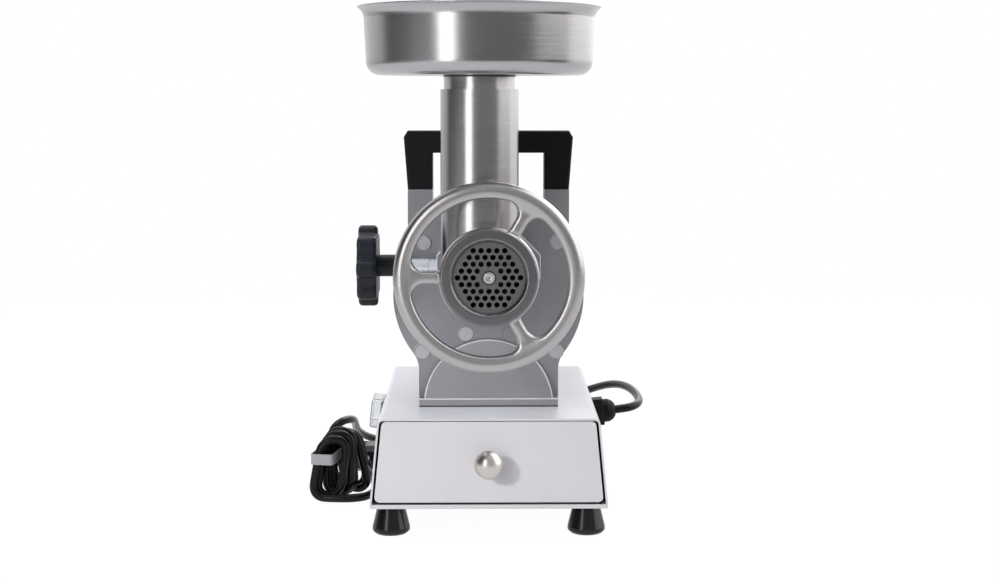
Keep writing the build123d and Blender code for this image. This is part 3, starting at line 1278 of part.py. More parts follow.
# Plug at the end of the cord: a tapered sleeve, a moulded body and its blades
PLUG_NECK = PLUG_START + 16
PLUG_FACE = PLUG_NECK + 28
with BuildPart() as plug_body:
    with BuildSketch(facing(PLUG_START)):
        with Locations((PLUG_X, PLUG_Z)):
            Circle(4.6)
    with BuildSketch(facing(PLUG_NECK)):
        with Locations((PLUG_X, PLUG_Z)):
            Circle(6.2)
    loft()
    with BuildSketch(facing(PLUG_NECK)):
        with Locations((PLUG_X, PLUG_Z)):
            RectangleRounded(22, 16, 6)
    with BuildSketch(facing(PLUG_NECK + 8)):
        with Locations((PLUG_X, PLUG_Z)):
            RectangleRounded(30, 23.4, 8)
    with BuildSketch(facing(PLUG_FACE)):
        with Locations((PLUG_X, PLUG_Z)):
            RectangleRounded(30, 23.4, 8)
    loft(ruled=True)
    with BuildSketch(facing(PLUG_FACE - 8)):
        with Locations((PLUG_X - 6.35, PLUG_Z + 2), (PLUG_X + 6.35, PLUG_Z + 2)):
            Rectangle(1.6, 6.4)
        with Locations((PLUG_X, PLUG_Z - 7)):
            Circle(2.45)
    extrude(amount=-9, mode=Mode.SUBTRACT)
plug_body.part.label = "plug_body"
export_step(plug_body.part, "parts/plug_body.step")

with BuildPart() as plug_blades:
    with BuildSketch(facing(PLUG_FACE - 8)):
        with Locations((PLUG_X - 6.35, PLUG_Z + 2), (PLUG_X + 6.35, PLUG_Z + 2)):
            Rectangle(1.5, 6.3)
        with Locations((PLUG_X, PLUG_Z - 7)):
            Circle(2.4)
    extrude(amount=-24)
plug_blades.part.label = "plug_blades"
export_step(plug_blades.part, "parts/plug_blades.step")
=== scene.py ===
import json
import math
import bmesh
import bpy
from mathutils import Matrix, Vector


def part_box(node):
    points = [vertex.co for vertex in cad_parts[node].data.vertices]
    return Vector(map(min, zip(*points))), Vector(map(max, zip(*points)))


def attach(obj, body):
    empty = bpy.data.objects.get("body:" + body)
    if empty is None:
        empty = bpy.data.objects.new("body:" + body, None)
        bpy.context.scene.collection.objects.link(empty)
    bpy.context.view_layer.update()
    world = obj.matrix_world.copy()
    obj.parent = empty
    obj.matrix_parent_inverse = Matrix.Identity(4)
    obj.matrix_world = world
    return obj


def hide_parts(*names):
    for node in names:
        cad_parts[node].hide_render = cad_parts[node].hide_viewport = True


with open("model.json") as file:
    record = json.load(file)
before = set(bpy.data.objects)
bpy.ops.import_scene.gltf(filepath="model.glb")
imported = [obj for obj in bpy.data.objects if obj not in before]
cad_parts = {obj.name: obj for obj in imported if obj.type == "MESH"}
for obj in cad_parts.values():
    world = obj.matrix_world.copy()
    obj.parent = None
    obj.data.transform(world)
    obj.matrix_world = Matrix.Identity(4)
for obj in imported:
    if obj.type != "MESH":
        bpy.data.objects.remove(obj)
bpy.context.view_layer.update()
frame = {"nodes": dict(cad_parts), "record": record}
scene = bpy.context.scene
scene.view_settings.view_transform = "Standard"
print("frame loaded:", len(frame["nodes"]), "nodes")

headHeight = 0.2085  # the axis of the grinding head above the table
mergeWithin = 1e-6
sharpAngle = math.radians(32)
flatAngle = math.radians(0.6)
turnedAngle = math.radians(50)
noiseRoughness = 0.55


# shader maths: a socket that can be added, multiplied and so on
class Socket:
    def __init__(self, nodes, out):
        self.nodes = nodes
        self.out = out

    def __add__(self, other): return self.nodes.maths("ADD", self, other)
    def __radd__(self, other): return self.nodes.maths("ADD", other, self)
    def __sub__(self, other): return self.nodes.maths("SUBTRACT", self, other)
    def __rsub__(self, other): return self.nodes.maths("SUBTRACT", other, self)
    def __mul__(self, other): return self.nodes.maths("MULTIPLY", self, other)
    def __rmul__(self, other): return self.nodes.maths("MULTIPLY", other, self)
    def __truediv__(self, other): return self.nodes.maths("DIVIDE", self, other)
    def __pow__(self, other): return self.nodes.maths("POWER", self, other)
    def clamp(self): return self.nodes.maths("MINIMUM", self.nodes.maths("MAXIMUM", self, 0.0), 1.0)


class Nodes:
    # a node tree that is written from its textures to its output
    def __init__(self, tree):
        self.tree = tree
        tree.nodes.clear()

    def plug(self, socket, value):
        if isinstance(value, Socket):
            self.tree.links.new(value.out, socket)
        elif isinstance(value, tuple) and len(value) == 3 and socket.type == "RGBA":
            socket.default_value = (*value, 1.0)
        else:
            socket.default_value = value

    def add(self, kind, settings=None, **inputs):
        # inputs go by name, with _ for a space, or by number as i0, i1 and so on
        made = self.tree.nodes.new(kind)
        for key, value in (settings or {}).items():
            if key == "stops":
                self.fillRamp(made.color_ramp.elements, value)
            else:
                setattr(made, key, value)
        for key, value in inputs.items():
            numbered = key[0] == "i" and key[1:].isdigit()
            self.plug(made.inputs[int(key[1:]) if numbered else key.replace("_", " ")], value)
        return made

    def node(self, kind, out=0, settings=None, **inputs):
        return Socket(self, self.add(kind, settings, **inputs).outputs[out])

    def maths(self, operation, *values):
        inputs = {f"i{number}": value for number, value in enumerate(values)}
        return self.node("ShaderNodeMath", settings={"operation": operation}, **inputs)

    def mix(self, factor, low, high):
        return self.node("ShaderNodeMix", out=2, settings={"data_type": "RGBA"}, i0=factor, i6=low, i7=high)

    def split(self, vector):
        made = self.add("ShaderNodeSeparateXYZ", i0=vector)
        return [Socket(self, out) for out in made.outputs]

    def fillRamp(self, elements, stops):
        while len(elements) < len(stops):
            elements.new(0.5)
        for element, (place, shade) in zip(elements, stops):
            element.position = place
            element.color = (shade, shade, shade, 1.0)


class Finish(Nodes):
    # one material with a Principled shader, on Object coordinates
    def __init__(self, name):
        self.mat = bpy.data.materials.new(name)
        self.mat.use_nodes = True
        super().__init__(self.mat.node_tree)
        self.shader = self.add("ShaderNodeBsdfPrincipled")
        self.output = self.add("ShaderNodeOutputMaterial", Surface=Socket(self, self.shader.outputs[0]))
        self.coords = self.node("ShaderNodeTexCoord", out="Object")

    def set(self, **inputs):
        for key, value in inputs.items():
            self.plug(self.shader.inputs[key.replace("_", " ")], value)
        return self

    def noise(self, scale, detail, stretch=None, vector=None):
        if stretch:
            vector = self.node("ShaderNodeMapping", Vector=self.coords, Scale=stretch)
        return self.node("ShaderNodeTexNoise", Vector=vector or self.coords, Scale=scale, Detail=detail,
                         Roughness=noiseRoughness)

    def bump(self, height, strength, distance):
        return self.set(Normal=self.node("ShaderNodeBump", Strength=strength, Distance=distance, Height=height))


# camera fitted to the edges of the pan, wheel, base and feet in the photograph
cameraSetup = {"place": (-0.00497, -1.27811, 0.34588), "pitch": 0.0694, "yaw": 0.0113, "lens": 56.62, "sensor": 36.0,
               "shift": -0.09}
cameraData = bpy.data.cameras.new("camera")
cameraData.lens = cameraSetup["lens"]
cameraData.sensor_width = cameraSetup["sensor"]
cameraData.shift_y = cameraSetup["shift"]
camera = bpy.data.objects.new("camera", cameraData)
camera.location = cameraSetup["place"]
camera.rotation_euler = (math.pi / 2 - cameraSetup["pitch"], 0.0, -cameraSetup["yaw"])
scene.collection.objects.link(camera)
scene.camera = camera

# the cord leaves the gland on the right, passes behind the base and ends in a tied hank on edge at the left
cordSetup = {
    "diameter": 0.007, "length": 1.33, "smoothness": 4, "roundness": 5,
    "lead": [
        (0.10660, 0.0300, 0.07985), (0.1155, 0.0307, 0.0808), (0.1222, 0.0348, 0.0815), (0.1267, 0.0420, 0.0822),
        (0.1290, 0.0510, 0.0830), (0.1294, 0.0635, 0.0840), (0.1278, 0.0810, 0.0852), (0.1238, 0.1030, 0.0855),
        (0.1172, 0.1255, 0.0838), (0.1083, 0.1475, 0.0790), (0.0980, 0.1695, 0.0715), (0.0805, 0.1865, 0.0620),
        (0.0595, 0.1975, 0.0495), (0.0350, 0.2035, 0.0355), (0.0085, 0.2062, 0.0225), (-0.0195, 0.2068, 0.0140),
        (-0.0485, 0.2062, 0.0105), (-0.0760, 0.2045, 0.0115), (-0.0980, 0.1985, 0.0155), (-0.1130, 0.1860, 0.0225),
        (-0.1200, 0.1680, 0.0315), (-0.1210, 0.1470, 0.0410), (-0.1200, 0.1270, 0.0495), (-0.1205, 0.1110, 0.0550),
        (-0.1230, 0.0985, 0.0576), (-0.1274, 0.0883, 0.0584), (-0.1320, 0.0810, 0.0566), (-0.1354, 0.0773, 0.0528),
        (-0.1368, 0.0755, 0.0476),
    ],
    "tail": [
        (-0.1275, 0.0312, 0.0041), (-0.1160, 0.0310, 0.0041), (-0.1055, 0.0355, 0.0041), (-0.0995, 0.0455, 0.0041),
        (-0.0975, 0.0580, 0.0041), (-0.0975, 0.0710, 0.0041), (-0.0995, 0.0840, 0.0048), (-0.1033, 0.0950, 0.0072),
        (-0.1070, 0.1045, 0.0102), (-0.1094, 0.1115, 0.0118), (-0.1100, 0.1180, 0.0122), (-0.1100, 0.1220, 0.0122),
    ],
}
# turns of the hank follow each other towards the front, in millimetres
# shift, wide and tall are stops of (turn, value)
hankSetup = {
    "x": -127.0, "low": 4.1, "pitch": 7.9, "far": 75.0, "start": 0.65, "end": 6.0, "lean": 0.3, "knots": 150,
    "shift": [(0.65, 2.0), (1.35, 15.0), (2.1, 14.0), (3.3, 1.0), (4.2, -1.5), (5.2, -10.0), (6.0, -11.5)],
    "wide": [(0.5, 11.0), (1.3, 9.8), (2.2, 9.8), (3.6, 10.8), (6.0, 11.2)],
    "tall": [(0.5, 26.0), (1.5, 24.5), (2.6, 25.0), (3.6, 27.0), (6.0, 24.5)],
}


def eased(turn, stops):
    for (before, low), (after, high) in zip(stops, stops[1:]):
        if turn <= after:
            share = min(1.0, max(0.0, (turn - before) / (after - before)))
            return low + (high - low) * share * share * (3 - 2 * share)
    return stops[-1][1]


def hankPlace(turn, setup):
    # an upright loop: round at the table, straight up, round at the top and down again
    wide, tall = eased(turn, setup["wide"]), eased(turn, setup["tall"])
    side, quarter = 2 * (tall - wide), math.pi * wide / 2
    gone = turn % 1.0 * (4 * quarter + 2 * side)
    if gone < quarter:
        x, z = wide * math.sin(gone / wide), wide * (1 - math.cos(gone / wide))
    elif gone < quarter + side:
        x, z = wide, wide + gone - quarter
    elif gone < 3 * quarter + side:
        swing = (gone - quarter - side) / wide
        x, z = wide * math.cos(swing), wide + side + wide * math.sin(swing)
    elif gone < 3 * quarter + 2 * side:
        x, z = -wide, wide + side - (gone - 3 * quarter - side)
    else:
        swing = (gone - 3 * quarter - 2 * side) / wide
        x, z = -wide * math.cos(swing), wide * (1 - math.sin(swing))
    fan = setup["lean"] + (1 - setup["lean"]) * (1 - z / (2 * tall))  # the turns spread at the table
    y = setup["far"] - setup["pitch"] * (turn - setup["start"])
    return ((setup["x"] + eased(turn, setup["shift"]) * fan + x) / 1000, y / 1000, (setup["low"] + z) / 1000)


def makeCord(setup, hank):
    curve = bpy.data.curves.new("cord", "CURVE")
    curve.dimensions = "3D"
    spline = curve.splines.new("NURBS")
    step = (hank["end"] - hank["start"]) / hank["knots"]
    turns = [hankPlace(hank["start"] + i * step, hank) for i in range(hank["knots"] + 1)]
    route = setup["lead"] + turns + setup["tail"]
    spline.points.add(len(route) - 1)
    for point, place in zip(spline.points, route):
        point.co = (*place, 1.0)
        point.radius = setup["diameter"] / 2
    spline.use_endpoint_u = True
    spline.order_u = 3
    spline.resolution_u = setup["smoothness"]
    curve.bevel_depth = 1.0  # times each point's radius
    curve.bevel_resolution = setup["roundness"]
    curve.use_fill_caps = True
    cord = bpy.data.objects.new("cord", curve)
    scene.collection.objects.link(cord)
    return cord


cord = makeCord(cordSetup, hankSetup)
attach(cord, "housing")
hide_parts("cord_lead", "cord_hank")
print("cord laid")


# plain finishes: tint is the noise between the two shades, grain the one in the gloss, dents the one in the relief
# gloss is the least roughness and what grain adds to it, relief the strength and depth of the bumps
def grained(name, shades, gloss, relief, tint, grain=None, dents=None, **fixed):
    finish = Finish(name)
    tintNoise = finish.noise(*tint)
    grainNoise = finish.noise(*grain) if grain else tintNoise
    dentNoise = finish.noise(*dents) if dents else grainNoise
    finish.set(Base_Color=finish.mix(tintNoise, *shades), Roughness=gloss[0] + grainNoise * gloss[1], **fixed)
    return finish.bump(dentNoise, *relief)


satinSheet = grained("satinSheet", ((0.66, 0.645, 0.655), (0.72, 0.70, 0.715)), (0.36, 0.10), (0.06, 0.0002),
                     tint=(14, 3), grain=(900, 2, (1.0, 0.02, 1.0)), Metallic=0.08)
paintedEdgeHighlight = grained("paintedEdgeHighlight", ((0.62, 0.62, 0.64), (0.84, 0.84, 0.86)), (0.26, 0.12), (0.08, 0.0001),
                   tint=(120, 3), Metallic=0.25)  # corners of the casting, a painted highlight: a brighter colour along the edges
castPad = grained("castPad", ((0.46, 0.46, 0.49), (0.57, 0.57, 0.60)), (0.38, 0.12), (0.1, 0.0001),
                  tint=(240, 3), Metallic=0.75)  # tops of the casting's round pads
paintedShadeSteel = grained("paintedShadeSteel", ((0.020, 0.020, 0.021), (0.050, 0.049, 0.048)), (0.35, 0.2), (0.08, 0.0001),
                    tint=(140, 3), Metallic=0.6)  # knife and auger, painted near black as the shade they lie in behind the plate
blackGrip = grained("blackGrip", ((0.004, 0.004, 0.005), (0.008, 0.008, 0.009)), (0.46, 0.15), (0.25, 0.00012),
                    tint=(30, 3), grain=(1800, 2), Specular_IOR_Level=0.16)
knobBlack = grained("knobBlack", ((0.006, 0.008, 0.011), (0.013, 0.016, 0.021)), (0.26, 0.14), (0.12, 0.0001),
                    tint=(40, 3), dents=(1500, 2), Specular_IOR_Level=0.26)
footRubber = grained("footRubber", ((0.004, 0.004, 0.005), (0.011, 0.011, 0.012)), (0.14, 0.12), (0.12, 0.0001),
                     tint=(55, 4), dents=(1300, 2), Specular_IOR_Level=0.35)
zincPlate = grained("zincPlate", ((0.62, 0.66, 0.71), (0.78, 0.82, 0.87)), (0.20, 0.15), (0.08, 0.0001),
                    tint=(160, 3), Metallic=0.55)
shadeSteel = grained("shadeSteel", ((0.030, 0.031, 0.033), (0.055, 0.057, 0.060)), (0.55, 0.15), (0.05, 0.0001),
                     tint=(120, 3, (1.0, 0.15, 1.0)), Metallic=0.2)  # plates inside the base
plateSteel = grained("plateSteel", ((0.12, 0.117, 0.115), (0.20, 0.195, 0.19)), (0.42, 0.16), (0.15, 0.00015),
                     tint=(700, 3, (1.0, 1.0, 0.12)), Metallic=0.85)
nickel = grained("nickel", ((0.56, 0.53, 0.50), (0.70, 0.67, 0.64)), (0.27, 0.10), (0.04, 0.0001),
                 tint=(70, 3), dents=(900, 2), Metallic=1.0)
cordSheath = grained("cordSheath", ((0.003, 0.003, 0.0035), (0.008, 0.008, 0.009)), (0.17, 0.10), (0.12, 0.0001),
                     tint=(24, 3), grain=(1100, 2), Specular_IOR_Level=0.20)
tieGrey = grained("tieGrey", ((0.22, 0.22, 0.225), (0.42, 0.42, 0.43)), (0.6, 0.2), (0.3, 0.0002),
                  tint=(1200, 2, (1.0, 0.3, 1.0)))
innerSteel = grained("innerSteel", ((0.45, 0.45, 0.46), (0.62, 0.62, 0.63)), (0.22, 0.16), (0.05, 0.0001),
                     tint=(80, 3), Metallic=1.0)
bronze = grained("bronze", ((0.38, 0.24, 0.10), (0.55, 0.38, 0.18)), (0.35, 0.15), (0.1, 0.0001),
                 tint=(600, 3), Metallic=1.0)
whitePlastic = grained("whitePlastic", ((0.70, 0.70, 0.68), (0.80, 0.80, 0.78)), (0.40, 0.12), (0.05, 0.0001),
                       tint=(30, 3), dents=(900, 2))
bladeBrass = grained("bladeBrass", ((0.60, 0.54, 0.40), (0.74, 0.69, 0.56)), (0.2, 0.12), (0.05, 0.0001),
                     tint=(90, 3), Metallic=1.0)

brushedTurned = Finish("brushedTurned")  # pan, spigot, feed tube: lines run round the Z axis
lines = brushedTurned.noise(60, 4, (0.6, 0.6, 60.0))
soft = brushedTurned.noise(18, 3)
brushedTurned.set(Base_Color=brushedTurned.mix(lines, (0.385, 0.37, 0.385), (0.535, 0.52, 0.535)), Metallic=1.0,
                  Roughness=0.17 + lines * 0.10 + soft * 0.05).bump(lines, 0.10, 0.00015)

wheelSteel = Finish("wheelSteel")  # ring nut and barrel: lines run round the Y axis; the mouth's face gets a darker colour, a painted shade standing in for the dark surroundings it mirrors
mouth = {"outer": 0.0362, "outerFade": 4000, "front": -0.1165, "frontFade": 3000}
ringScale = {"across": 2600, "along": 2200}
wheelX, wheelY, wheelZ = wheelSteel.split(wheelSteel.coords)
rings = (wheelX ** 2.0 + (wheelZ - headHeight) ** 2.0) ** 0.5
ringPlace = wheelSteel.node("ShaderNodeCombineXYZ", X=rings * ringScale["across"], Y=wheelY * ringScale["along"])
ringNoise = wheelSteel.noise(1.0, 4, vector=ringPlace)
inMouth = ((mouth["outer"] - rings) * mouth["outerFade"]).clamp()
# where the painted shade goes: the flat face of the mouth
mouthShadeMask = inMouth * ((mouth["front"] - wheelY) * mouth["frontFade"]).clamp()
bareSteel = wheelSteel.mix(ringNoise, (0.40, 0.385, 0.385), (0.56, 0.54, 0.54))
mouthPaintedShade = wheelSteel.mix(ringNoise, (0.14, 0.138, 0.145), (0.26, 0.255, 0.265))
wheelSteel.set(Base_Color=wheelSteel.mix(mouthShadeMask, bareSteel, mouthPaintedShade), Metallic=1.0,
               Roughness=0.24 + ringNoise * 0.14).bump(ringNoise, 0.30, 0.00015)

castAluminium = Finish("castAluminium")  # gear case and motor, with drawn lines in the arch over the flange
archFace = {"front": -0.0152, "frontFade": 900, "top": 0.1475, "topFade": 600}
pits = castAluminium.noise(1400, 2)
caseY, caseZ = castAluminium.split(castAluminium.coords)[1:]
onFace = ((archFace["front"] - caseY) * archFace["frontFade"]).clamp()
inArch = onFace * ((archFace["top"] - caseZ) * archFace["topFade"]).clamp()
drawLines = castAluminium.noise(60, 4, (0.25, 1.0, 26.0))
tone = castAluminium.noise(26, 5) * (1.0 - inArch) + drawLines * inArch
skin = castAluminium.mix(tone, (0.235, 0.235, 0.255), (0.385, 0.385, 0.41))
castAluminium.set(Base_Color=castAluminium.mix(inArch * 0.55, skin, (0.50, 0.49, 0.51)), Metallic=0.80,
                  Roughness=0.36 + pits * 0.16).bump(pits * (1.0 - inArch) + drawLines * inArch, 0.22, 0.0002)

clearCover = Finish("clearCover")
waves = clearCover.noise(60, 2)
clearCover.set(Base_Color=(0.93, 0.94, 0.95), Roughness=0.05 + waves * 0.06, Transmission_Weight=0.90,
               IOR=1.30).bump(waves, 0.05, 0.0005)

laminated = Finish("laminated")
sheets = laminated.node("ShaderNodeTexWave", out=1, settings={"bands_direction": "Y"}, Vector=laminated.coords,
                        Scale=320.0, Distortion=0.3)
laminated.set(Base_Color=laminated.mix(sheets, (0.10, 0.10, 0.105), (0.22, 0.22, 0.225)), Metallic=0.8,
              Roughness=0.45 + sheets * 0.1).bump(sheets, 0.2, 0.0002)

copperWire = Finish("copperWire")  # wound round the motor's axis
motorAxis = copperWire.node("ShaderNodeMapping", Vector=copperWire.coords, Location=(0, 0, -0.1825))
strands = copperWire.node("ShaderNodeTexWave", out=1, settings={"wave_type": "RINGS", "rings_direction": "Y"},
                          Vector=motorAxis, Scale=160.0, Distortion=1.5)
copperWire.set(Base_Color=copperWire.mix(strands, (0.36, 0.13, 0.05), (0.62, 0.27, 0.12)), Metallic=0.9,
               Roughness=0.28 + strands * 0.1).bump(strands, 0.4, 0.0004)


def dress(finish, *nodes):
    for name in nodes:
        mesh = frame["nodes"][name].data
        mesh.materials.clear()
        mesh.materials.append(finish.mat)


dress(satinSheet, "base_shell", "drawer_front", "drawer_tray")
dress(zincPlate, "foot_screws", "pedestal_bolts", "case_screws", "cover_screws", "handle_studs", "drawer_knob_screw",
      "clamp_screw")
dress(footRubber, "foot_front_left", "foot_front_right", "foot_back_left", "foot_back_right", "gasket", "shaft_seal",
      "plug_body")
dress(castAluminium, "gear_case", "gear_case_rear", "motor_housing")
dress(paintedShadeSteel, "knife", "auger")
dress(shadeSteel, "base_bottom_plate", "drawer_rails", "base_partition")
dress(laminated, "stator", "rotor")
dress(copperWire, "windings")
dress(innerSteel, "motor_bearings", "output_bearing", "motor_shaft", "idler_gear", "idler_shaft", "output_gear",
      "output_shaft", "auger_stud", "plate_key")
dress(bronze, "shaft_bushes")
dress(brushedTurned, "feed_tube", "feed_pan", "pan_spigot")
dress(wheelSteel, "ring_nut", "head_barrel")
dress(plateSteel, "grinding_plate")
dress(nickel, "drawer_knob")
dress(blackGrip, "handle", "rear_cover", "switch_body", "switch_rocker", "gland_body", "gland_nut")
dress(knobBlack, "clamp_knob")
dress(whitePlastic, "cooling_fan", "thrust_washer", "run_capacitor")
dress(clearCover, "switch_cover")
dress(tieGrey, "cord_tie")
dress(bladeBrass, "plug_blades")
cord.data.materials.append(cordSheath.mat)
print("finishes on", len(frame["nodes"]), "nodes")


def smoothFaces(shape):
    for face in shape.faces:
        face.smooth = True


def roundEdges(shape, edges, width, segments, clamp=False):
    return bmesh.ops.bevel(shape, geom=edges, offset=width, offset_type="OFFSET", segments=segments, profile=0.5,
                           affect="EDGES", clamp_overlap=clamp, material=-1)["faces"]


def sharpEdges(shape):
    return [e for e in shape.edges if len(e.link_faces) == 2 and e.calc_face_angle(0.0) > sharpAngle]


def setPiece(name, shape, finish, body):
    # a new piece from a bmesh, on its body and with its material slot
    mesh = bpy.data.meshes.new(name)
    shape.to_mesh(mesh)
    shape.free()
    mesh.materials.append(finish.mat)
    piece = bpy.data.objects.new(name, mesh)
    scene.collection.objects.link(piece)
    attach(piece, body)
    return piece


# the wheel nut: the node melted together, so that spokes, rim and hub run into each other as in a casting
wheelSetup = {
    "voxel": 0.0008, "rounds": 7,
    "web": {"from": 0.0385, "to": 0.0665, "grow": 0.0004},
    "face": {"from": 0.0272, "to": 0.0357, "behind": -0.1165, "front": -0.1195, "lip": 0.0290, "lipWide": 0.0016,
             "chamfer": 0.0018},
    "rim": {"from": 0.0560, "to": 0.06555, "behind": -0.1128, "crest": -0.1196, "flat": 0.36, "window": 0.0605,
            "blend": 0.0045},
}


def meltWheel(setup):
    source = frame["nodes"]["ring_nut"].data.copy()
    shape = bmesh.new()
    shape.from_mesh(source)
    bmesh.ops.remove_doubles(shape, verts=shape.verts, dist=mergeWithin)
    shape.to_mesh(source)
    shape.free()
    wheel = bpy.data.objects.new("wheel_nut", source)
    scene.collection.objects.link(wheel)
    remesh = wheel.modifiers.new("melt", "REMESH")
    remesh.mode = "VOXEL"
    remesh.voxel_size = setup["voxel"]
    bpy.context.view_layer.update()
    mesh = bpy.data.meshes.new_from_object(wheel.evaluated_get(bpy.context.evaluated_depsgraph_get()))
    wheel.modifiers.clear()

    shape = bmesh.new()
    shape.from_mesh(mesh)
    web, face, rim = setup["web"], setup["face"], setup["rim"]
    everyAxis = {"use_axis_x": True, "use_axis_y": True, "use_axis_z": True}
    bmesh.ops.smooth_vert(shape, verts=shape.verts, factor=0.5, **everyAxis)
    webbing = [v for v in shape.verts if web["from"] < math.hypot(v.co.x, v.co.z - headHeight) < web["to"]]
    for vert in webbing:
        vert.co += vert.normal * web["grow"]
    for vert in shape.verts:
        reach = math.hypot(vert.co.x, vert.co.z - headHeight)
        if face["from"] < reach < face["to"] and vert.co.y < face["behind"]:
            # the mouth's face is turned flat, with a chamfer inside
            inside = min(1.0, max(0.0, (face["lip"] - reach) / face["lipWide"]))
            vert.co.y = face["front"] + face["chamfer"] * inside
        if rim["from"] < reach < rim["to"] and vert.co.y < rim["behind"]:
            # the rim is a broad flat round that ends at the edge of the windows
            share = rim["flat"] + (1.0 - rim["flat"]) * max(0.0, (rim["window"] - reach) / rim["blend"])
            vert.co.y = rim["crest"] + (vert.co.y - rim["crest"]) * share
    for turn in range(setup["rounds"]):
        bmesh.ops.smooth_vert(shape, verts=webbing, factor=0.5, **everyAxis)
    smoothFaces(shape)
    shape.to_mesh(mesh)
    shape.free()
    mesh.materials.clear()
    mesh.materials.append(wheelSteel.mat)
    wheel.data = mesh
    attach(wheel, "ring")
    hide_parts("ring_nut")
    print("wheel nut:", len(mesh.polygons), "faces")


meltWheel(wheelSetup)

# round edges on the nodes whose corners show: a merged copy of the node with a small bevel of this width
softened = {
    "gear_case": 0.0011, "gear_case_rear": 0.0005, "base_shell": 0.0004, "drawer_front": 0.0005,
    "gland_body": 0.0005, "grinding_plate": 0.00018, "feed_tube": 0.0004, "pan_spigot": 0.0003,
    "head_barrel": 0.0004, "clamp_screw": 0.0004,
}
# the gear case's bevel faces take a brighter second material, a painted highlight along its edges
paintedHighlightEdges = {"gear_case": paintedEdgeHighlight}
# the lower side edges of the sheet, found within so much of their height and side
roundFolds = {"base_shell": {"height": 0.0242, "half": 0.0930, "round": 0.0024, "withinZ": 1e-4, "withinX": 3e-4}}


def soften(name, width):
    mesh = frame["nodes"][name].data.copy()
    mesh.name = name + "_edges"
    shape = bmesh.new()
    shape.from_mesh(mesh)
    bmesh.ops.remove_doubles(shape, verts=shape.verts, dist=mergeWithin)
    bmesh.ops.dissolve_limit(shape, angle_limit=flatAngle, verts=shape.verts, edges=shape.edges)
    fold = roundFolds.get(name)
    if fold:
        low = [e for e in sharpEdges(shape)
               if all(abs(v.co.z - fold["height"]) < fold["withinZ"] for v in e.verts)
               and all(abs(abs(v.co.x) - fold["half"]) < fold["withinX"] for v in e.verts)]
        roundEdges(shape, low, fold["round"], segments=5)
    paintedHighlightFaces = roundEdges(shape, sharpEdges(shape), width, segments=2, clamp=True)
    # painted highlight: the bevel faces get the bright edge material
    if name in paintedHighlightEdges:
        mesh.materials.append(paintedHighlightEdges[name].mat)
        for face in paintedHighlightFaces:
            face.material_index = 1
    smoothFaces(shape)
    shape.to_mesh(mesh)
    shape.free()
    piece = bpy.data.objects.new(name + "_edges", mesh)
    scene.collection.objects.link(piece)
    piece.modifiers.new("flat", "WEIGHTED_NORMAL").weight = 100
    body = next(b for b, names in frame["record"]["behaviour"]["bodies"].items() if name in names)
    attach(piece, body)
    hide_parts(name)


for name, width in softened.items():
    soften(name, width)
print("edges softened on", len(softened), "nodes")

# round cast pads on the front of the gear case, at (x, z)
padSetup = {"radius": 0.0057, "height": 0.0002, "face": -0.0157, "taper": 0.93, "sides": 40,
            "places": [(-0.0519, 0.2248), (0.0554, 0.2257), (-0.0183, 0.1511), (-0.0535, 0.1365), (0.0554, 0.1365)]}


def makePads(setup):
    shape = bmesh.new()
    for x, z in setup["places"]:
        spot = Matrix.Translation((x, setup["face"], z)) @ Matrix.Rotation(math.pi / 2, 4, "X")
        ring = bmesh.ops.create_circle(shape, cap_ends=True, segments=setup["sides"], radius=setup["radius"],
                                       matrix=spot)
        face = next(iter(ring["verts"][0].link_faces))
        grown = bmesh.ops.extrude_face_region(shape, geom=[face])
        verts = [g for g in grown["geom"] if isinstance(g, bmesh.types.BMVert)]
        bmesh.ops.translate(shape, verts=verts, vec=(0, -setup["height"], 0))
        bmesh.ops.scale(shape, verts=verts, vec=(setup["taper"], 1, setup["taper"]),
                        space=Matrix.Translation((-x, 0, -z)))
    bmesh.ops.recalc_face_normals(shape, faces=shape.faces)
    setPiece("cast_pads", shape, castPad, "housing")


makePads(padSetup)
print("cast pads set")

# painted highlights on the casting's edges: thin round beads in the bright edge material laid along its corners,
# thick is a bead's radius
beadSides = 8
archSetup = {"thick": 0.00062, "radius": 0.0515, "centre": 0.0947, "low": 0.1002, "top": 0.1462, "apex": -0.0165,
             "cove": 0.12206, "steps": 60}
flangeSetup = {"thick": 0.00055, "half": 0.0558, "y": -0.0262, "z": 0.0999}
collarSetup = {"thick": 0.0005, "y": -0.0408, "inset": 0.994,
               "corners": [(0.041, -0.009), (0.041, 0.009), (0.014, 0.0365), (-0.014, 0.0365), (-0.041, 0.009),
                           (-0.041, -0.009), (-0.014, -0.0365), (0.014, -0.0365)]}


def makeBead(name, route, thick, closed=False):
    shape = bmesh.new()
    places = [Vector(place) for place in route]
    loops = []
    for number, place in enumerate(places):
        first, last = number == 0 and not closed, number + 1 == len(places) and not closed
        before = place if first else places[number - 1]
        after = place if last else places[(number + 1) % len(places)]
        along = (after - before).normalized()
        out = along.cross(Vector((0, 1, 0))).normalized()
        spot = Matrix.Translation(place) @ Matrix((out, along.cross(out), along)).transposed().to_4x4()
        ring = bmesh.ops.create_circle(shape, cap_ends=first or last, segments=beadSides, radius=thick,
                                       matrix=spot)["verts"]
        loops.append(list({edge for vert in ring for edge in vert.link_edges}))
    for loop, following in zip(loops, loops[1:] + loops[:1] if closed else loops[1:]):
        bmesh.ops.bridge_loops(shape, edges=loop + following)
    bmesh.ops.recalc_face_normals(shape, faces=shape.faces)
    smoothFaces(shape)
    setPiece(name, shape, paintedEdgeHighlight, "housing")


def archRoute(setup):
    # half round over the flange, on the face that curves forward to it
    low = math.asin((setup["low"] - setup["centre"]) / setup["radius"])
    places = []
    for step in range(setup["steps"] + 1):
        swing = low + (math.pi - 2 * low) * step / setup["steps"]
        z = setup["centre"] + setup["radius"] * math.sin(swing)
        y = setup["apex"] - setup["cove"] + math.sqrt(setup["cove"] ** 2 - (z - setup["top"]) ** 2)
        places.append((setup["radius"] * math.cos(swing), y, z))
    return places


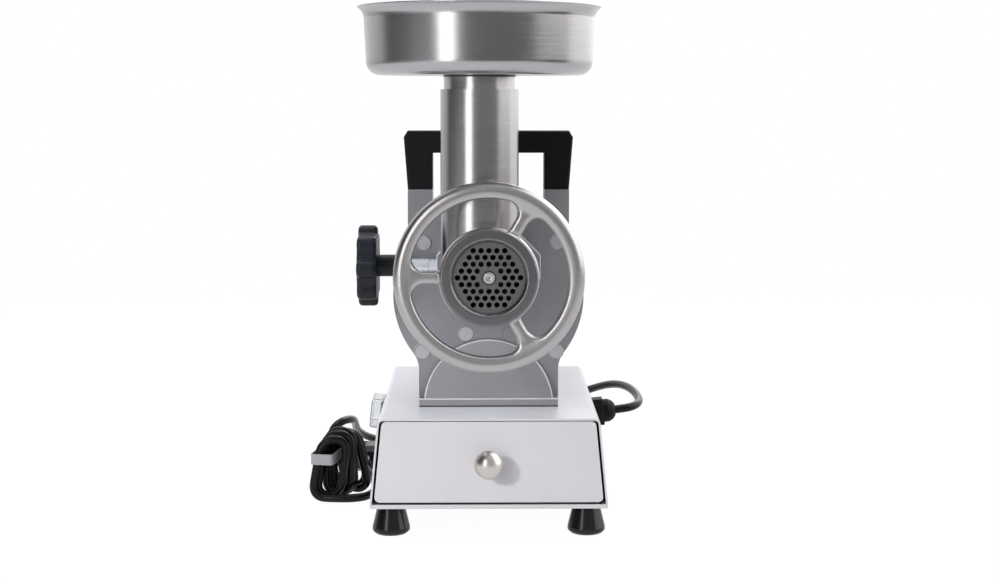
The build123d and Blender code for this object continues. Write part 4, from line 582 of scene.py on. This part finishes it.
makeBead("arch_edge", archRoute(archSetup), archSetup["thick"])
makeBead("flange_edge", [(side * flangeSetup["half"], flangeSetup["y"], flangeSetup["z"]) for side in (-1, 1)],
         flangeSetup["thick"])
makeBead("collar_edge", [(x * collarSetup["inset"], collarSetup["y"], headHeight + z * collarSetup["inset"])
                         for x, z in collarSetup["corners"]], collarSetup["thick"], closed=True)
print("bright edges laid")

# folded sill under the drawer, closing the front of the base
sillSetup = {"low": 0.0229, "high": 0.0262, "front": -0.0745, "back": -0.0731, "half": 0.0929, "round": 0.0004,
             "corner": 0.0016}


def makeSill(setup):
    low = Vector((-setup["half"], setup["front"], setup["low"]))
    high = Vector((setup["half"], setup["back"], setup["high"]))
    shape = bmesh.new()
    block = Matrix.Translation((low + high) / 2) @ Matrix.Diagonal((*(high - low), 1.0))
    bmesh.ops.create_cube(shape, size=1.0, matrix=block)
    deep = [e for e in shape.edges if abs(e.verts[0].co.y - e.verts[1].co.y) > mergeWithin]
    roundEdges(shape, deep, setup["corner"], segments=5)
    rims = [e for e in shape.edges if abs(e.verts[0].co.y - e.verts[1].co.y) < mergeWithin]
    roundEdges(shape, rims, setup["round"], segments=2)
    smoothFaces(shape)
    sill = setPiece("base_sill", shape, satinSheet, "housing")
    sill.modifiers.new("flat", "WEIGHTED_NORMAL").weight = 100


makeSill(sillSetup)
print("sill set")


# turned pieces: a profile of (radius, depth) spun about an axis
def turnPiece(name, setup, centre, finish, body):
    shape = bmesh.new()
    axis = Vector(setup["axis"])
    verts = [shape.verts.new(Vector(centre) + Vector((radius, 0, 0)) + axis * depth)
             for radius, depth in setup["profile"]]
    edges = [shape.edges.new(pair) for pair in zip(verts, verts[1:])]
    bmesh.ops.spin(shape, geom=verts + edges, cent=centre, axis=axis, angle=2 * math.pi, steps=setup["steps"],
                   use_merge=True)
    bmesh.ops.remove_doubles(shape, verts=shape.verts, dist=mergeWithin)
    bmesh.ops.recalc_face_normals(shape, faces=shape.faces)
    smoothFaces(shape)
    piece = setPiece(name, shape, finish, body)
    piece.data.set_sharp_from_angle(angle=turnedAngle)


# end of the auger's stud, faced off and centre drilled
studSetup = {"axis": (0, 1, 0), "steps": 64, "proud": 0.00005,
             "profile": [(0.0, 0.0012), (0.0004, 0.0009), (0.0013, 0.0002), (0.0019, -0.0001), (0.0026, -0.00025),
                         (0.0034, -0.0002), (0.0039, 0.0001), (0.0041, 0.0006)]}
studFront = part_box("auger_stud")[0][1]
turnPiece("stud_tip", studSetup, (0.0, studFront - studSetup["proud"], headHeight), nickel, "auger_set")

# painted shadow: a dark ring between the pan and its spigot, where the pan's bottom shades the spigot
panShadowSetup = {"axis": (0, 0, 1), "steps": 96, "x": -0.007, "y": -0.0725,
             "profile": [(0.0262, -0.0012), (0.0275, -0.0013), (0.0279, -0.0005), (0.0278, 0.0002), (0.0262, 0.0002),
                         (0.0262, -0.0012)]}
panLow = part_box("feed_pan")[0][2]
turnPiece("pan_shadow_ring", panShadowSetup, (panShadowSetup["x"], panShadowSetup["y"], panLow), paintedShadeSteel, "pan")
print("turned pieces set")

# studio: soft boxes, white surroundings and a pale floor; metal doesn't show a lamp that isn't mirrored
studio = {
    "strip": {"place": (-0.82, -1.40, 0.62), "size": (0.42, 1.3), "power": 6.6},
    "key": {"place": (-1.12, -1.32, 0.78), "size": (0.15, 0.15), "power": 15.0, "mirrored": False},
    "front": {"place": (0.1, -1.7, 0.85), "size": (1.6, 0.9), "power": 0.8, "tint": (1.0, 0.94, 0.96),
              "mirrored": False},
    "topLeft": {"place": (-0.85, -0.12, 1.15), "size": (0.7, 0.9), "power": 11.5, "tint": (0.82, 0.90, 1.0),
                "mirrored": False},
    "topRight": {"place": (0.85, -0.12, 1.15), "size": (0.7, 0.9), "power": 6.0, "tint": (0.82, 0.90, 1.0),
                 "mirrored": False},
    "fill": {"place": (1.7, -0.5, 0.7), "size": (0.8, 1.2), "power": 2.0, "mirrored": False},
    "top": {"place": (-0.1, -0.1, 1.6), "size": (1.4, 1.0), "power": 6.0, "tint": (0.80, 0.90, 1.0)},
    "rim": {"place": (0.5, 1.2, 0.9), "size": (0.9, 0.7), "power": 4.0},
}
lampAim = Vector((0.0, 0.0, 0.2))


def makeLamp(name, setup):
    data = bpy.data.lights.new(name, "AREA")
    data.shape = "RECTANGLE"
    data.size, data.size_y = setup["size"]
    data.energy = setup["power"]
    data.color = setup.get("tint", (1.0, 1.0, 1.0))
    lamp = bpy.data.objects.new(name, data)
    lamp.location = setup["place"]
    lamp.visible_glossy = setup.get("mirrored", True)
    lamp.visible_camera = False
    lamp.rotation_euler = (lampAim - lamp.location).to_track_quat("-Z", "Y").to_euler()
    scene.collection.objects.link(lamp)


for lampName, lampSetup in studio.items():
    makeLamp(lampName, lampSetup)

# what metal mirrors above and below eye level, by compass degrees: 0 is towards the camera, right is positive
surroundings = {
    "high": [(-180, 1.0), (-112, 0.90), (-103, 0.05), (-60, 0.01), (-44, 0.14), (-16, 0.38), (18, 0.44), (54, 0.48),
             (60, 2.40), (92, 2.40), (180, 1.3)],
    "low": [(-180, 1.0), (-116, 0.50), (-104, 0.16), (-80, 0.30), (-60, 0.52), (-44, 0.24), (-16, 0.14), (18, 0.10),
            (70, 0.02), (97, 0.08), (105, 0.98), (180, 1.0)],
}
skySetup = {"steep": 40.0, "level": 0.6, "plain": (1.0, 0.97, 0.985), "plainPower": 0.20, "white": (1.0, 1.0, 1.0)}
world = bpy.data.worlds.new("studioWorld")
scene.world = world
world.use_nodes = True
sky = Nodes(world.node_tree)
wayX, wayY, wayZ = sky.split(sky.node("ShaderNodeTexCoord", out="Generated"))
compass = sky.maths("ARCTAN2", wayX, wayY * -1.0) / (2 * math.pi) + 0.5
bands = {}
for level, stops in surroundings.items():
    turned = [((degrees + 180) / 360, shade) for degrees, shade in stops]
    bands[level] = sky.node("ShaderNodeValToRGB", settings={"stops": turned}, i0=compass)
rise = (wayZ * skySetup["steep"] + skySetup["level"]).clamp()
mirrored = sky.node("ShaderNodeBackground", Color=sky.mix(rise, bands["low"], bands["high"]), Strength=1.0)
plainSky = sky.node("ShaderNodeBackground", Color=skySetup["plain"], Strength=skySetup["plainPower"])
whiteSky = sky.node("ShaderNodeBackground", Color=skySetup["white"], Strength=1.0)
rays = {kind: sky.node("ShaderNodeLightPath", out=f"Is {kind} Ray") for kind in ("Camera", "Glossy", "Transmission")}
bounced = (rays["Glossy"] + rays["Transmission"]).clamp()
litSky = sky.node("ShaderNodeMixShader", i0=bounced, i1=plainSky, i2=mirrored)
seenSky = sky.node("ShaderNodeMixShader", i0=rays["Camera"], i1=litSky, i2=whiteSky)
sky.add("ShaderNodeOutputWorld", Surface=seenSky)

floorSetup = {"half": 1.36, "drop": 0.0005, "colour": (0.50, 0.49, 0.50), "roughness": 0.6, "glow": 1.05,
              "seen": 0.93, "mirrored": 0.72}
floorMesh = bpy.data.meshes.new("floor")
shape = bmesh.new()
bmesh.ops.create_grid(shape, x_segments=1, y_segments=1, size=floorSetup["half"])
shape.to_mesh(floorMesh)
shape.free()
floor = bpy.data.objects.new("floor", floorMesh)
floor.location = (0.0, 0.0, -floorSetup["drop"])
scene.collection.objects.link(floor)
paleFloor = Finish("paleFloor").set(Base_Color=floorSetup["colour"], Roughness=floorSetup["roughness"])
glow = paleFloor.node("ShaderNodeEmission", Color=(1.0, 1.0, 1.0), Strength=floorSetup["glow"])
seen = paleFloor.node("ShaderNodeLightPath", out="Is Camera Ray") * floorSetup["seen"]
shown = paleFloor.node("ShaderNodeLightPath", out="Is Glossy Ray") * floorSetup["mirrored"]
lit = Socket(paleFloor, paleFloor.shader.outputs[0])
floorLook = paleFloor.node("ShaderNodeMixShader", i0=seen + shown, i1=lit, i2=glow)
paleFloor.plug(paleFloor.output.inputs["Surface"], floorLook)
floorMesh.materials.append(paleFloor.mat)
print("studio set")

bpy.context.view_layer.update()
